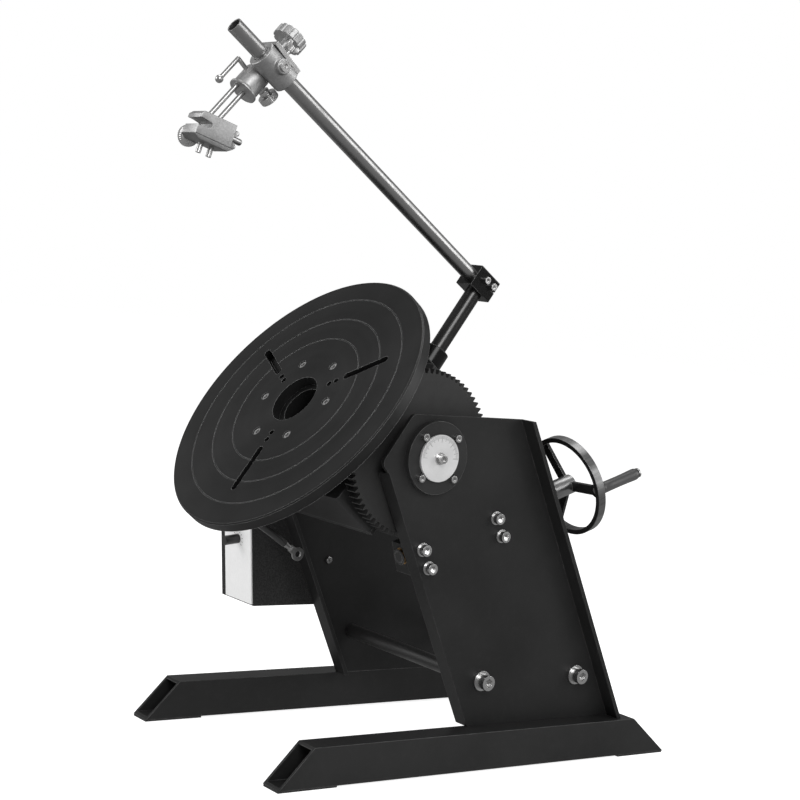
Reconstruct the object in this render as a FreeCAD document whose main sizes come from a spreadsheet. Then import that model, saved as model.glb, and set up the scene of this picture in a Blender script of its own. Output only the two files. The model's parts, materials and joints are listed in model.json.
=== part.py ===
import FreeCAD, Part
import math
import os
import re
import Sketcher

# Welding positioner. A round table turns on a housing that tilts between two side
# plates. X runs across the machine, the table leans towards -Y, the handwheel is at
# the rear, and the floor is z = 0. Every length is in millimetres.

Vector = FreeCAD.Vector
Rotation = FreeCAD.Rotation
Placement = FreeCAD.Placement

SIZES = {
    # feet: slant-cut rectangular tubes on thin pads
    "foot_gap": 260, "foot_wide": 32, "foot_high": 45, "foot_wall": 3,
    "foot_front": 188, "foot_rear": 299, "foot_cut_front": 42, "foot_cut_rear": 58,
    "pad_thick": 2.4, "pad_long": 78, "pad_inset": 3,
    # bent side plates, as corners of their side view
    "plate_thick": 5, "plate_top": 414, "toe_front": 48, "toe_rear": 282,
    "rear_top": 84, "brow_front": 82, "nose_front": 119, "nose_high": 357,
    "shoulder_front": 107, "shoulder_high": 345, "flange_in": 16, "flange_out": 20, "fold_gap": 1,
    "corner_round": 9, "bend_round": 4, "drain_dia": 6, "drain_rear": 109, "drain_high": 383,
    # round tie bars between the plates
    "tie_dia": 18, "tie_high": 102, "tie_front": 62, "tie_back": 213,
    "tie_bolt": 12, "tie_head": 18, "tie_head_high": 12, "tie_washer": 24,
    "tie_washer_thick": 2.5, "tie_thread": 28,
    # tilt axis and its bearings
    "tilt_rear": -46, "tilt_high": 366, "table_tilt": 53.2,
    "trunnion_dia": 40, "trunnion_flange_dia": 90, "trunnion_flange": 9,
    "bush_dia": 48, "spigot_dia": 60, "spigot_inset": 8, "bearing_dia": 84,
    "bearing_flange": 7, "flange_pitch": 66, "flange_bolt": 5, "flange_head": 8.5,
    "flange_head_high": 5, "running_fit": 0.05, "face_gap": 0.5,
    "dial_dia": 54, "dial_thick": 3, "dial_washer": 14, "dial_washer_thick": 1.5,
    "dial_bolt": 6, "dial_head": 10, "dial_head_high": 6, "dial_thread": 16,
    # worm and wheel that tilt the housing
    "module": 2.5, "wheel_teeth": 77, "wheel_thick": 16, "worm_pitch_dia": 30,
    "worm_rise": 19.4, "worm_turns": 6, "worm_shaft_dia": 14, "tooth_share": 0.36,
    "bracket_front": 36, "bracket_rear": 75, "bracket_thick": 18, "bracket_top": 15,
    "bracket_low": 22, "bracket_flange": 14, "bracket_flange_top": 19.5,
    "bracket_inner": 15, "bracket_bolt": 8, "bracket_head": 13, "bracket_head_high": 8,
    "bracket_washer": 16, "bracket_washer_thick": 1.6, "bolt_half": 12, "bolt_skew": 1.9,
    "worm_bush_dia": 20,
    # handwheel and crank handle
    "hub_dia": 24, "hub_from": 188, "hub_long": 24, "wheel_dish": 22, "rim_dia": 125,
    "rim_band": 11, "rim_thick": 6, "spoke_wide": 12, "spoke_thick": 4,
    "spoke_turn": 2, "handle_dia": 15, "handle_long": 62, "pin_dia": 8, "pin_seat": 9,
    # tilting housing
    "housing_wide": 170, "housing_down": 102, "housing_up": 98, "housing_face": 40,
    "housing_deep": 64, "housing_wall": 6, "housing_round": 5, "cover_thick": 5,
    "cover_bolt": 5, "cover_inset": 9,
    # spindle, its bearings and its gears
    "spindle_drop": 27.3, "spindle_dia": 60, "spindle_bore": 50,
    "spindle_flange_dia": 136, "spindle_flange": 8, "spindle_tail": 14,
    "snout_dia": 112, "snout_bore": 80, "snout_gap": 3, "bearing_wide": 16,
    "gear_teeth": 48, "pinion_teeth": 16, "gear_wide": 14, "gear_from": 4,
    "motor_dia": 72, "motor_long": 96, "gearbox_long": 34, "motor_shaft_dia": 12,
    "motor_shaft_in": 12,
    # table
    "table_dia": 360, "table_thick": 13.6, "table_face": 113.3, "table_edge": 1.5,
    "table_bore": 64, "groove_1": 181, "groove_2": 241, "groove_3": 302,
    "groove_wide": 1.4, "groove_deep": 0.8, "slot_wide": 9, "slot_from": 70.5,
    "slot_to": 133, "slot_turn": 35, "tap_dia": 7, "tap_inner": 50, "tap_outer": 60,
    "screw_circle": 116, "screw_turn": 5, "screw_dia": 6, "screw_head": 10,
    "screw_head_high": 6, "screw_recess": 10.8, "screw_recess_deep": 7,
    # post, corner clamp and arm
    "post_side": 45, "post_back": 22, "post_lean": 3.8, "post_dia": 20, "post_wall": 2,
    "post_reach": 129.6, "socket_dia": 32, "socket_high": 26, "socket_base": 36,
    "socket_base_thick": 8, "clamp_wide": 28, "clamp_high": 28, "clamp_back": 16,
    "clamp_front": 20, "clamp_screw": 5, "clamp_screw_head": 8.5, "slit_wide": 1.6,
    "post_cap": 3, "tube_seat": 2,
    "arm_dia": 18, "arm_wall": 1.5, "arm_reach": 450, "spigot_long": 45,
    # torch holder on the arm
    "holder_from": 362, "holder_long": 44, "holder_dia": 32, "boss_dia": 17,
    "boss_reach": 21, "boss_screw": 8, "boss_head": 12, "boss_head_high": 3,
    # cross slide beside the arm: rail, adjusting screw, barrel and guide rods
    "cross_side": -20, "holder_turn": -6.5, "rail_long": 42, "rail_wide": 40, "rail_side": 12,
    "rail_thick": 5, "rail_seat": 12, "shelf_long": 30, "column_dia": 26,
    "adjust_dia": 37, "adjust_thick": 11, "adjust_stem": 11, "adjust_reach": 29,
    "adjust_lobes": 14, "adjust_flute": 3.4, "barrel_dia": 30, "barrel_from": 11,
    "barrel_long": 25, "end_plate": 3, "end_plate_dia": 34,
    "lock_dia": 22, "lock_thick": 9, "lock_stem": 12, "lock_reach": 8, "lock_down": 18,
    "lever_dia": 5, "lever_stem": 14, "lever_long": 33, "lever_ball": 9, "lever_down": 18,
    "lever_seat": 1.8, "rod_dia": 5.5, "rod_gap": 11, "rod_shift": 4, "rod_top": 22,
    "rod_low": 92, "wing_dia": 5, "wing_span": 18, "wing_side": 22, "wing_high": 11,
    "wing_thick": 3, "wing_neck": 6,
    # torch block on the rods
    "clip_from": 397, "clip_drop": 78, "clip_turn": 19, "block_wide": 28, "block_top": 5,
    "block_low": 31, "block_front": 25, "block_back": 21, "block_bevel": 6,
    "sole_thick": 5, "sole_over": 2, "slot_high": 9.5, "slot_long": 18, "slot_down": 7,
    "side_knob_dia": 24, "side_knob_thick": 8, "side_knob_front": 15, "sole_screw": 6,
    "sole_screw_long": 11, "sole_screw_seat": 5, "sole_screw_front": 7.5, "sole_screw_back": 6,
    "tee_dia": 6, "tee_long": 18, "tee_span": 21, "tee_seat": 9, "tee_bar": 4.5,
    # earth connection under the table
    "earth_dia": 9, "earth_long": 26, "earth_eye": 16, "earth_hole": 8,
    "earth_strap": 22, "earth_thick": 2.5, "earth_side": -26, "earth_out": 20,
    "earth_seat": 4,
    # control box on the far plate
    "box_wide": 75, "box_deep": 150, "box_high": 118, "box_front": 106, "box_low": 137,
    "box_lean": 7.7, "box_skin": 2, "box_lip": 4, "panel_thick": 2, "panel_inset": 2,
    "panel_side": 12, "knob_dia": 12, "knob_high": 20, "knob_stem": 6, "knob_seat": 6,
    "switch_wide": 14, "switch_high": 18, "switch_deep": 7, "switch_gap": 1.2,
    "switch_pin": 3, "knob_down": 38, "switch_down": 15,
}

doc = FreeCAD.newDocument("welding_positioner")
sheet = doc.addObject("Spreadsheet::Sheet", "Sizes")
for row, (alias, number) in enumerate(SIZES.items(), 1):
    sheet.set("A%d" % row, alias)
    sheet.set("B%d" % row, str(number))
    sheet.setAlias("B%d" % row, alias)
doc.recompute()


def size(alias):
    """The number in the sheet under this name."""
    return float(sheet.get(alias))


def formula(text):
    """Point each size name in a formula at the sheet."""
    return re.sub(r"\b([a-z][a-z0-9_]*)\b(?!\()", r"Sizes.\1", str(text))


TURN = {
    "x": Rotation(Vector(0, 1, 0), 90),
    "y": Rotation(Vector(1, 0, 0), -90),
    "z": Rotation(),
}


def set_at(item, at):
    """Bind the three coordinates of an object's base point."""
    for axis, text in zip("xyz", at):
        item.setExpression("Placement.Base." + axis, formula(text))
    return item


def rod(dia, length, at=(0, 0, 0), axis="z"):
    """A cylinder that starts at a point and runs along one axis."""
    item = doc.addObject("Part::Cylinder", "rod")
    item.setExpression("Radius", formula("(%s) / 2" % dia))
    item.setExpression("Height", formula(length))
    item.Placement = Placement(Vector(), TURN[axis])
    return set_at(item, at)


def box(across, along, up, at):
    """A block with its low corner at a point."""
    item = doc.addObject("Part::Box", "block")
    item.setExpression("Length", formula(across))
    item.setExpression("Width", formula(along))
    item.setExpression("Height", formula(up))
    return set_at(item, at)


def hexagon(across, length, at, axis="z"):
    """A hexagonal prism, such as the socket of a screw."""
    item = doc.addObject("Part::Prism", "hexagon")
    item.Polygon = 6
    item.setExpression("Circumradius", formula("(%s) / 2 / cos(30)" % across))
    item.setExpression("Height", formula(length))
    item.Placement = Placement(Vector(), TURN[axis])
    return set_at(item, at)


def ball(dia, at):
    """A whole sphere."""
    item = doc.addObject("Part::Sphere", "ball")
    item.setExpression("Radius", formula("(%s) / 2" % dia))
    return set_at(item, at)


def group(items):
    """Several solids kept apart in one object."""
    item = doc.addObject("Part::Compound", "group")
    item.Links = items
    return item


def fuse(*items):
    """One solid from several."""
    item = doc.addObject("Part::MultiFuse", "fuse")
    item.Shapes = list(items)
    item.Refine = True
    return item


def cut(base, *tools):
    """A base with tools taken out of it."""
    item = doc.addObject("Part::Cut", "cut")
    item.Base = base
    item.Tool = tools[0] if len(tools) == 1 else group(list(tools))
    return item


def placed(item, frame):
    """Put an object in a frame, on top of its own placement."""
    holder = group([item])
    holder.Placement = frame
    return holder


def turned(item, axis, angle, frame=Placement()):
    """Turn an object about one axis of a frame."""
    return placed(item, frame.multiply(Placement(Vector(), Rotation(axis, angle))))


def shifted(item, by):
    """Shift an object."""
    return placed(item, Placement(by, Rotation()))


def sketch_on(body, role, points, offset):
    """A closed outline on one of a body's own planes, each corner bound to the sheet."""
    plane = [item for item in body.Origin.OriginFeatures if item.Role == role][0]
    sketch = body.newObject("Sketcher::SketchObject", "outline")
    sketch.AttachmentSupport = (plane, [""])
    sketch.MapMode = "FlatFace"
    sketch.setExpression("AttachmentOffset.Base.z", formula(offset))
    count = len(points)
    step = 2 * math.pi / count
    start = [Vector(10 * math.cos(step * i), 10 * math.sin(step * i), 0) for i in range(count)]
    for i in range(count):
        sketch.addGeometry(Part.LineSegment(start[i], start[(i + 1) % count]))
    for i in range(count):
        sketch.addConstraint(Sketcher.Constraint("Coincident", i, 2, (i + 1) % count, 1))
    for i, point in enumerate(points):
        for kind, text, first in zip(("DistanceX", "DistanceY"), point, start[i]):
            number = sketch.addConstraint(Sketcher.Constraint(kind, -1, 1, i, 1, first))
            sketch.setExpression("Constraints[%d]" % number, formula(text))
    return sketch


def pad(body, role, points, offset, length):
    """Extrude an outline along the plane's normal."""
    feature = body.newObject("PartDesign::Pad", "pad")
    feature.Profile = sketch_on(body, role, points, offset)
    feature.setExpression("Length", formula(length))
    return feature


def round_edges(body, feature, radius, wanted):
    """Fillet the edges of a body whose middle passes the test."""
    doc.recompute()
    names = []
    for number, edge in enumerate(feature.Shape.Edges, 1):
        if wanted(edge):
            names.append("Edge%d" % number)
    fillet = body.newObject("PartDesign::Fillet", "fillet")
    fillet.Base = (feature, names)
    fillet.setExpression("Radius", formula(radius))
    body.Tip = fillet
    return fillet


def runs_along(edge, axis):
    """Whether an edge is a straight line along an axis."""
    if edge.Curve.TypeId != "Part::GeomLine":
        return False
    return abs(edge.Curve.Direction.dot(axis)) > 0.999


NODES = {}
BUSHES = []
HEAD_SCREWS = []


def node(name, item, frame=Placement()):
    """Name a finished sub-part and put it in its frame."""
    if item.ExpressionEngine:
        item = group([item])
    item.Label = name
    item.Placement = frame.multiply(item.Placement)
    NODES[name] = item


# ---- frames ---------------------------------------------------------------------

ACROSS = Vector(1, 0, 0)
NEAR = 1
FAR = -1
SIDES = {"near": NEAR, "far": FAR}

TILT_POINT = Vector(0, size("tilt_rear"), size("tilt_high"))
# head: y up the table's face, z out of the table, origin on the tilt axis
HEAD = Placement(TILT_POINT, Rotation(ACROSS, size("table_tilt")))
# worm: y along the shaft to the handwheel, z towards the tilt axis
WORM_X = size("housing_wide") / 2 + size("trunnion_flange") + size("wheel_thick") / 2
WHEEL_PITCH = size("module") * size("wheel_teeth")
WORM_DROP = (WHEEL_PITCH + size("worm_pitch_dia")) / 2
WORM_TURN = Rotation(ACROSS, size("worm_rise"))
WORM = Placement(TILT_POINT + Vector(WORM_X, 0, 0) - WORM_TURN.multVec(Vector(0, 0, WORM_DROP)),
                 WORM_TURN)
# post: y up the post, origin on the housing's upper face
POST = HEAD.multiply(Placement(Vector(size("post_side"), size("housing_up"), size("post_back")),
                               Rotation(ACROSS, size("post_lean"))))
# arm: z along the arm, origin where the axes of post and arm meet
ARM = POST.multiply(Placement(Vector(0, size("post_reach"), 0), Rotation()))
# clamp on the arm, and the cross slide beside it with y up its adjusting screw
HOLDER_MIDDLE = size("holder_from") + size("holder_long") / 2
CLAMP = ARM.multiply(Placement(Vector(0, 0, HOLDER_MIDDLE), Rotation()))
IN_CLAMP = Placement(Vector(size("cross_side"), 0, 0), Rotation(ACROSS, size("holder_turn")))
CROSS = CLAMP.multiply(IN_CLAMP)
# torch block: z towards its open end, y away from the table, origin between the rods
CLIP = ARM.multiply(Placement(Vector(size("cross_side"), -size("clip_drop"), size("clip_from")),
                              Rotation(ACROSS, size("clip_turn"))))
# front of the control box: z up the slanting panel, y into the box
BOX_RUN = size("box_high") * math.tan(math.radians(size("box_lean")))
PANEL = Placement(Vector(0, BOX_RUN - size("box_front"), size("box_low")),
                  Rotation(ACROSS, size("box_lean")))

seat = "(pad_thick + foot_high)"
plate_in = "(foot_gap / 2)"
plate_out = "(foot_gap / 2 + plate_thick)"
worm_x = "(housing_wide / 2 + trunnion_flange + wheel_thick / 2)"


def span(side, inner, outer):
    """Where a piece starts in X, and its length, from its two distances off the middle."""
    start = inner if side == NEAR else "-(%s)" % outer
    return start, "(%s) - (%s)" % (outer, inner)


def socket_bolt(dia, length, head, head_high, face, at, side):
    """A socket-head screw along X, its head standing on a face and its shank going in."""
    y, z = at
    if side == NEAR:
        shank_from = "%s - (%s)" % (face, length)
        head_from = face
        hex_from = "%s + (%s) / 2" % (face, head_high)
    else:
        shank_from = "-(%s)" % face
        head_from = "-(%s) - (%s)" % (face, head_high)
        hex_from = head_from
    shank = rod(dia, length, (shank_from, y, z), "x")
    top = rod(head, head_high, (head_from, y, z), "x")
    key = hexagon("(%s) * 0.55" % head, "(%s) / 2" % head_high, (hex_from, y, z), "x")
    return cut(fuse(shank, top), key)


def washer(dia, hole, thick, face, at, side):
    """A flat washer on a face that looks along X."""
    y, z = at
    start = face if side == NEAR else "-(%s) - (%s)" % (face, thick)
    return cut(rod(dia, thick, (start, y, z), "x"), rod(hole, thick, (start, y, z), "x"))


# ---- frame: feet, plates, tie bars -------------------------------------------------

def make_feet():
    """Two rectangular tubes with both ends cut on the slant, open at the ends."""
    for name, side in SIDES.items():
        start, length = span(side, "foot_gap / 2", "foot_gap / 2 + foot_wide")
        body = doc.addObject("PartDesign::Body", name + "_tube")
        pad(body, "YZ_Plane", [
            ("-(foot_front + foot_cut_front)", "pad_thick"),
            ("foot_rear + foot_cut_rear", "pad_thick"),
            ("foot_rear", seat),
            ("-foot_front", seat)], start, length)
        inside = box("foot_wide - 2 * foot_wall", "2 * (foot_front + foot_rear + foot_cut_rear)",
                     "foot_high - 2 * foot_wall",
                     ("%s + foot_wall" % start, "-(foot_front + foot_rear + foot_cut_rear)",
                      "pad_thick + foot_wall"))
        node(name + "_foot", cut(body, inside))


def make_pads():
    """A thin pad under each end of each foot."""
    pads = []
    for side in SIDES.values():
        start, length = span(side, "foot_gap / 2 + pad_inset / 2",
                             "foot_gap / 2 + foot_wide - pad_inset / 2")
        for y in ("-(foot_front + foot_cut_front)", "foot_rear + foot_cut_rear - pad_long"):
            pads.append(box(length, "pad_long", "pad_thick", (start, y, "0")))
    node("foot_pads", group(pads))


def make_side_plates():
    """Bent plates: the front edge folds inwards and the rear edge folds outwards."""
    slope_front = "((toe_front + shoulder_front) / (shoulder_high - %s))" % seat
    skin_front = "(plate_thick * sqrt(1 + %s ^ 2))" % slope_front
    slope_rear = "((toe_rear - rear_top) / (plate_top - %s))" % seat
    skin_rear = "(plate_thick * sqrt(1 + %s ^ 2))" % slope_rear
    for name, side in SIDES.items():
        body = doc.addObject("PartDesign::Body", name + "_blank")
        start, length = span(side, plate_in, plate_out)
        pad(body, "YZ_Plane", [
            ("toe_front", seat), ("toe_rear", seat), ("rear_top", "plate_top"),
            ("-brow_front", "plate_top"), ("-nose_front", "nose_high"),
            ("-shoulder_front", "shoulder_high")], start, length)
        start, length = span(side, "foot_gap / 2 - flange_in", plate_out)
        pad(body, "YZ_Plane", [
            ("toe_front", seat), ("toe_front + %s" % skin_front, seat),
            ("-shoulder_front + %s" % skin_front, "shoulder_high"),
            ("-shoulder_front", "shoulder_high")], start, length)
        start, length = span(side, plate_in, "%s + flange_out" % plate_out)
        last = pad(body, "YZ_Plane", [
            ("toe_rear", seat), ("rear_top", "plate_top"),
            ("rear_top - %s" % skin_rear, "plate_top"),
            ("toe_rear - %s" % skin_rear, seat)], start, length)
        high = size("nose_high") - 1
        round_edges(body, last, "corner_round", lambda edge: (
            runs_along(edge, ACROSS) and edge.CenterOfMass.z > high
            and edge.CenterOfMass.y < 0))
        hole = rod("spigot_dia", "foot_gap + 4 * plate_thick",
                   ("-(foot_gap / 2 + 2 * plate_thick)", "tilt_rear", "tilt_high"), "x")
        tools = [hole] + bearing_bolt_holes() + tie_bolt_holes()
        if side == NEAR:
            tools.append(worm_bolt_holes())
            tools.append(rod("drain_dia", "4 * plate_thick",
                             ("foot_gap / 2 - plate_thick", "drain_rear", "drain_high"), "x"))
        node(name + "_side_plate", cut(body, *tools))


def bearing_spots():
    """Places of the four screws round a tilt bearing."""
    spots = []
    for turn in (45, 135, 225, 315):
        spots.append(("tilt_rear + flange_pitch / 2 * cos(%d)" % turn,
                      "tilt_high + flange_pitch / 2 * sin(%d)" % turn))
    return spots


def bearing_bolt_holes():
    """Holes through both plates for the screws of the tilt bearings."""
    return [rod("flange_bolt", "foot_gap + 4 * plate_thick",
                ("-(foot_gap / 2 + 2 * plate_thick)", y, z), "x") for y, z in bearing_spots()]


def tie_bolt_holes():
    """Holes through both plates for the tie bar bolts."""
    return [rod("tie_bolt", "foot_gap + 4 * plate_thick",
                ("-(foot_gap / 2 + 2 * plate_thick)", y, "tie_high"), "x")
            for y in ("tie_front", "tie_back")]


def worm_bolt_spots():
    """Places of the four worm bracket bolts, in the worm's frame."""
    spots = []
    for along in ("-bracket_front", "bracket_rear"):
        spots.append(("%s + bolt_skew" % along, "-bolt_half"))
        spots.append(("%s - bolt_skew" % along, "bolt_half"))
    return spots


def worm_bolt_holes():
    """Holes through the near plate for the worm bracket bolts."""
    start = "foot_gap / 2 - plate_thick - %s" % worm_x
    return placed(group([rod("bracket_bolt", "4 * plate_thick", (start, y, z), "x")
                         for y, z in worm_bolt_spots()]), WORM)


def make_tie_bars():
    """Round bars between the plates, tapped at both ends, and their bolts."""
    screws = []
    for name, y in (("front_tie_bar", "tie_front"), ("rear_tie_bar", "tie_back")):
        bar = rod("tie_dia", "foot_gap", ("-foot_gap / 2", y, "tie_high"), "x")
        taps = [rod("tie_bolt", "tie_thread", ("-foot_gap / 2", y, "tie_high"), "x"),
                rod("tie_bolt", "tie_thread", ("foot_gap / 2 - tie_thread", y, "tie_high"), "x")]
        node(name, cut(bar, *taps))
        for side in SIDES.values():
            face = "(%s + tie_washer_thick)" % plate_out
            screws.append(washer("tie_washer", "tie_bolt", "tie_washer_thick", plate_out,
                                 (y, "tie_high"), side))
            screws.append(socket_bolt("tie_bolt", "tie_thread + plate_thick + tie_washer_thick",
                                      "tie_head", "tie_head_high", face, (y, "tie_high"), side))
    node("tie_bar_bolts", group(screws))


# ---- tilt bearings --------------------------------------------------------------

def make_tilt_bearings():
    """A flanged bearing on the outside of each plate, with a plain bush."""
    bushes = []
    screws = []
    centre = ("tilt_rear", "tilt_high")
    face = "(%s + bearing_flange)" % plate_out
    for name, side in SIDES.items():
        start, length = span(side, plate_out, face)
        disc = rod("bearing_dia", length, (start,) + centre, "x")
        inner, deep = span(side, "%s - spigot_inset" % plate_in, face)
        spigot = rod("spigot_dia", deep, (inner,) + centre, "x")
        holes = [rod("flange_bolt", length, (start, y, z), "x") for y, z in bearing_spots()]
        bore = rod("bush_dia", deep, (inner,) + centre, "x")
        node(name + "_tilt_bearing", cut(fuse(disc, spigot), bore, *holes))
        bushes.append(cut(rod("bush_dia", deep, (inner,) + centre, "x"),
                          rod("trunnion_dia + 2 * running_fit", deep, (inner,) + centre, "x")))
        for spot in bearing_spots():
            screws.append(socket_bolt("flange_bolt", "bearing_flange + plate_thick",
                                      "flange_head", "flange_head_high", face, spot, side))
    BUSHES.extend(bushes)
    node("tilt_bearing_screws", group(screws))


# ---- worm drive ----------------------------------------------------------------

def front_fold_room():
    """The space that the near plate's folded front edge needs, and a little more."""
    slope = "((toe_front + shoulder_front) / (shoulder_high - %s))" % seat
    inner = "((plate_thick + fold_gap) * sqrt(1 + %s ^ 2))" % slope
    body = doc.addObject("PartDesign::Body", "fold_room")
    pad(body, "YZ_Plane", [
        ("-shoulder_front - 50", "shoulder_high"), ("%s - shoulder_front" % inner, "shoulder_high"),
        ("%s + toe_front" % inner, seat), ("toe_front - 50", seat)],
        "foot_gap / 2 - flange_in - fold_gap", "flange_in + fold_gap")
    return body


def make_worm_brackets():
    """Two blocks on the near plate that carry the worm shaft in bushes."""
    bushes = []
    reach = "(foot_gap / 2 - %s)" % worm_x
    for name, along in (("front", "-bracket_front"), ("rear", "bracket_rear")):
        low = "%s - bracket_thick / 2" % along
        carrier = box("bracket_inner + %s" % reach, "bracket_thick", "bracket_top + bracket_low",
                      ("-bracket_inner", low, "-bracket_low"))
        flange = box("bracket_flange", "bracket_thick", "bracket_flange_top + bracket_low",
                     ("%s - bracket_flange" % reach, low, "-bracket_low"))
        bore = rod("worm_bush_dia", "bracket_thick", ("0", low, "0"), "y")
        tools = [bore]
        for y, z in worm_bolt_spots():
            if y.startswith(along):
                tools.append(rod("bracket_bolt", "bracket_flange - 2",
                                 ("%s - bracket_flange + 2" % reach, y, z), "x"))
        bracket = placed(cut(fuse(carrier, flange), *tools), WORM)
        node(name + "_worm_bracket", cut(bracket, front_fold_room()))
        bushes.append(cut(rod("worm_bush_dia", "bracket_thick", ("0", low, "0"), "y"),
                          rod("worm_shaft_dia + 2 * running_fit", "bracket_thick",
                              ("0", low, "0"), "y")))
    BUSHES.append(placed(group(bushes), WORM))
    node("plain_bushes", group(BUSHES))
    screws = []
    face = "(%s - %s)" % (plate_out, worm_x)
    head_face = "(%s + bracket_washer_thick)" % face
    for spot in worm_bolt_spots():
        screws.append(washer("bracket_washer", "bracket_bolt", "bracket_washer_thick",
                             face, spot, NEAR))
        screws.append(socket_bolt("bracket_bolt",
                                  "bracket_washer_thick + plate_thick + bracket_flange - 2",
                                  "bracket_head", "bracket_head_high", head_face, spot, NEAR))
    node("worm_bracket_bolts", group(screws), WORM)


def toothed_disc(teeth, thick, module, phase):
    """A spur gear with straight-sided teeth, centred on its own z axis."""
    pitch = module * teeth / 2
    share = size("tooth_share")
    tooth_angle = 2 * math.pi / teeth
    rings = ((pitch - 1.25 * module, share + 0.22), (pitch + 0.95 * module, share - 0.18))
    points = []
    for tooth in range(teeth):
        middle = tooth * tooth_angle + phase
        (root, root_share), (tip, tip_share) = rings
        for radius, part in ((root, -root_share), (tip, -tip_share),
                             (tip, tip_share), (root, root_share)):
            angle = middle + part * tooth_angle / 2
            points.append(Vector(radius * math.cos(angle), radius * math.sin(angle), 0))
    points.append(points[0])
    return Part.Face(Part.makePolygon(points)).extrude(Vector(0, 0, thick))


def feature(shape):
    """A plain object that holds a computed shape."""
    item = doc.addObject("Part::Feature", "shape")
    item.Shape = shape
    return item


def make_worm_wheel():
    """The worm wheel, bolted to the near trunnion's flange."""
    thick = size("wheel_thick")
    gap_down = math.radians(size("worm_rise") - size("table_tilt") - 90)
    half_tooth = math.pi / size("wheel_teeth")
    wheel = toothed_disc(int(size("wheel_teeth")), thick, size("module"), gap_down + half_tooth)
    wheel = wheel.cut(Part.makeCylinder(size("trunnion_dia") / 2, thick))
    wheel.rotate(Vector(), Vector(1, 1, 1), 120)
    wheel.translate(Vector(size("housing_wide") / 2 + size("trunnion_flange"), 0, 0))
    node("worm_wheel", feature(wheel), HEAD)


def make_worm():
    """The worm: a one-start thread on a core that is pressed on the shaft."""
    module = size("module")
    lead = math.pi * module
    turns = size("worm_turns")
    pitch_radius = size("worm_pitch_dia") / 2
    core = pitch_radius - 1.3 * module
    crest = pitch_radius + 0.9 * module
    share = size("tooth_share")
    low = lead * (share + 0.2) / 2
    high = lead * (share - 0.2) / 2
    helix = Part.makeHelix(lead, lead * turns, core)
    corners = [Vector(core - 0.4, 0, -low), Vector(crest, 0, -high),
               Vector(crest, 0, high), Vector(core - 0.4, 0, low)]
    corners.append(corners[0])
    thread = Part.Wire(helix).makePipeShell([Part.makePolygon(corners)], True, True)
    length = lead * turns + 2 * low
    body = Part.makeCylinder(core, length, Vector(0, 0, -low))
    worm = body.fuse(thread).cut(
        Part.makeCylinder(size("worm_shaft_dia") / 2, length, Vector(0, 0, -low)))
    worm.translate(Vector(0, 0, -lead * turns / 2))
    # the crest that meets the wheel lies on the line between the two axes
    worm.rotate(Vector(), Vector(0, 0, 1), 180 * (turns % 2) - 90)
    worm.rotate(Vector(), Vector(1, 0, 0), -90)
    node("worm", feature(worm), WORM)


def make_worm_shaft():
    """The shaft through both brackets to the handwheel."""
    start = "-(bracket_front + bracket_thick / 2 + 3)"
    length = "hub_from + hub_long + bracket_front + bracket_thick / 2 + 3"
    node("worm_shaft", rod("worm_shaft_dia", length, ("0", start, "0"), "y"), WORM)


def make_handwheel():
    """A dished handwheel: hub, three flat spokes and a flat rim."""
    hub = rod("hub_dia", "hub_long", ("0", "hub_from", "0"), "y")
    rim_from = "hub_from + wheel_dish"
    end = "(%s + rim_band)" % rim_from
    rim = cut(rod("rim_dia", "rim_band", ("0", rim_from, "0"), "y"),
              rod("rim_dia - 2 * rim_thick", "rim_band", ("0", rim_from, "0"), "y"))
    parts = [hub, rim]
    middle = "hub_from + wheel_dish + rim_band / 2 - spoke_thick / 2"
    for turn in (0, 120, 240):
        spoke = box("rim_dia / 2 - rim_thick / 2", "spoke_thick", "spoke_wide",
                    ("0", middle, "-spoke_wide / 2"))
        parts.append(turned(spoke, Vector(0, 1, 0), -turn - size("spoke_turn")))
    parts.append(rod("hub_dia", "rim_band", ("0", rim_from, "0"), "y"))
    angle = math.radians(size("spoke_turn"))
    reach = size("rim_dia") / 2 - size("pin_seat")
    spot = Vector(reach * math.cos(angle), 0, reach * math.sin(angle))
    seat_disc = rod("handle_dia + 2", "%s - (%s)" % (end, middle), ("0", middle, "0"), "y")
    parts.append(shifted(seat_disc, spot))
    pin_hole = shifted(rod("pin_dia", "%s - (%s)" % (end, middle), ("0", middle, "0"), "y"), spot)
    bore = rod("worm_shaft_dia", "hub_long + wheel_dish + rim_band", ("0", "hub_from", "0"), "y")
    node("handwheel", cut(fuse(*parts), bore, pin_hole), WORM)
    pin = rod("pin_dia", "%s + handle_long + 1 - (%s)" % (end, middle), ("0", middle, "0"), "y")
    head = rod("pin_dia + 4", "2.5", ("0", "%s + handle_long + 0.6" % end, "0"), "y")
    node("handle_pin", shifted(fuse(pin, head), spot), WORM)
    grip = cut(rod("handle_dia", "handle_long", ("0", "%s + 0.3" % end, "0"), "y"),
               rod("pin_dia + 2 * running_fit", "handle_long", ("0", "%s + 0.3" % end, "0"), "y"))
    node("crank_handle", shifted(grip, spot), WORM)


# ---- tilting housing -------------------------------------------------------------

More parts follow.
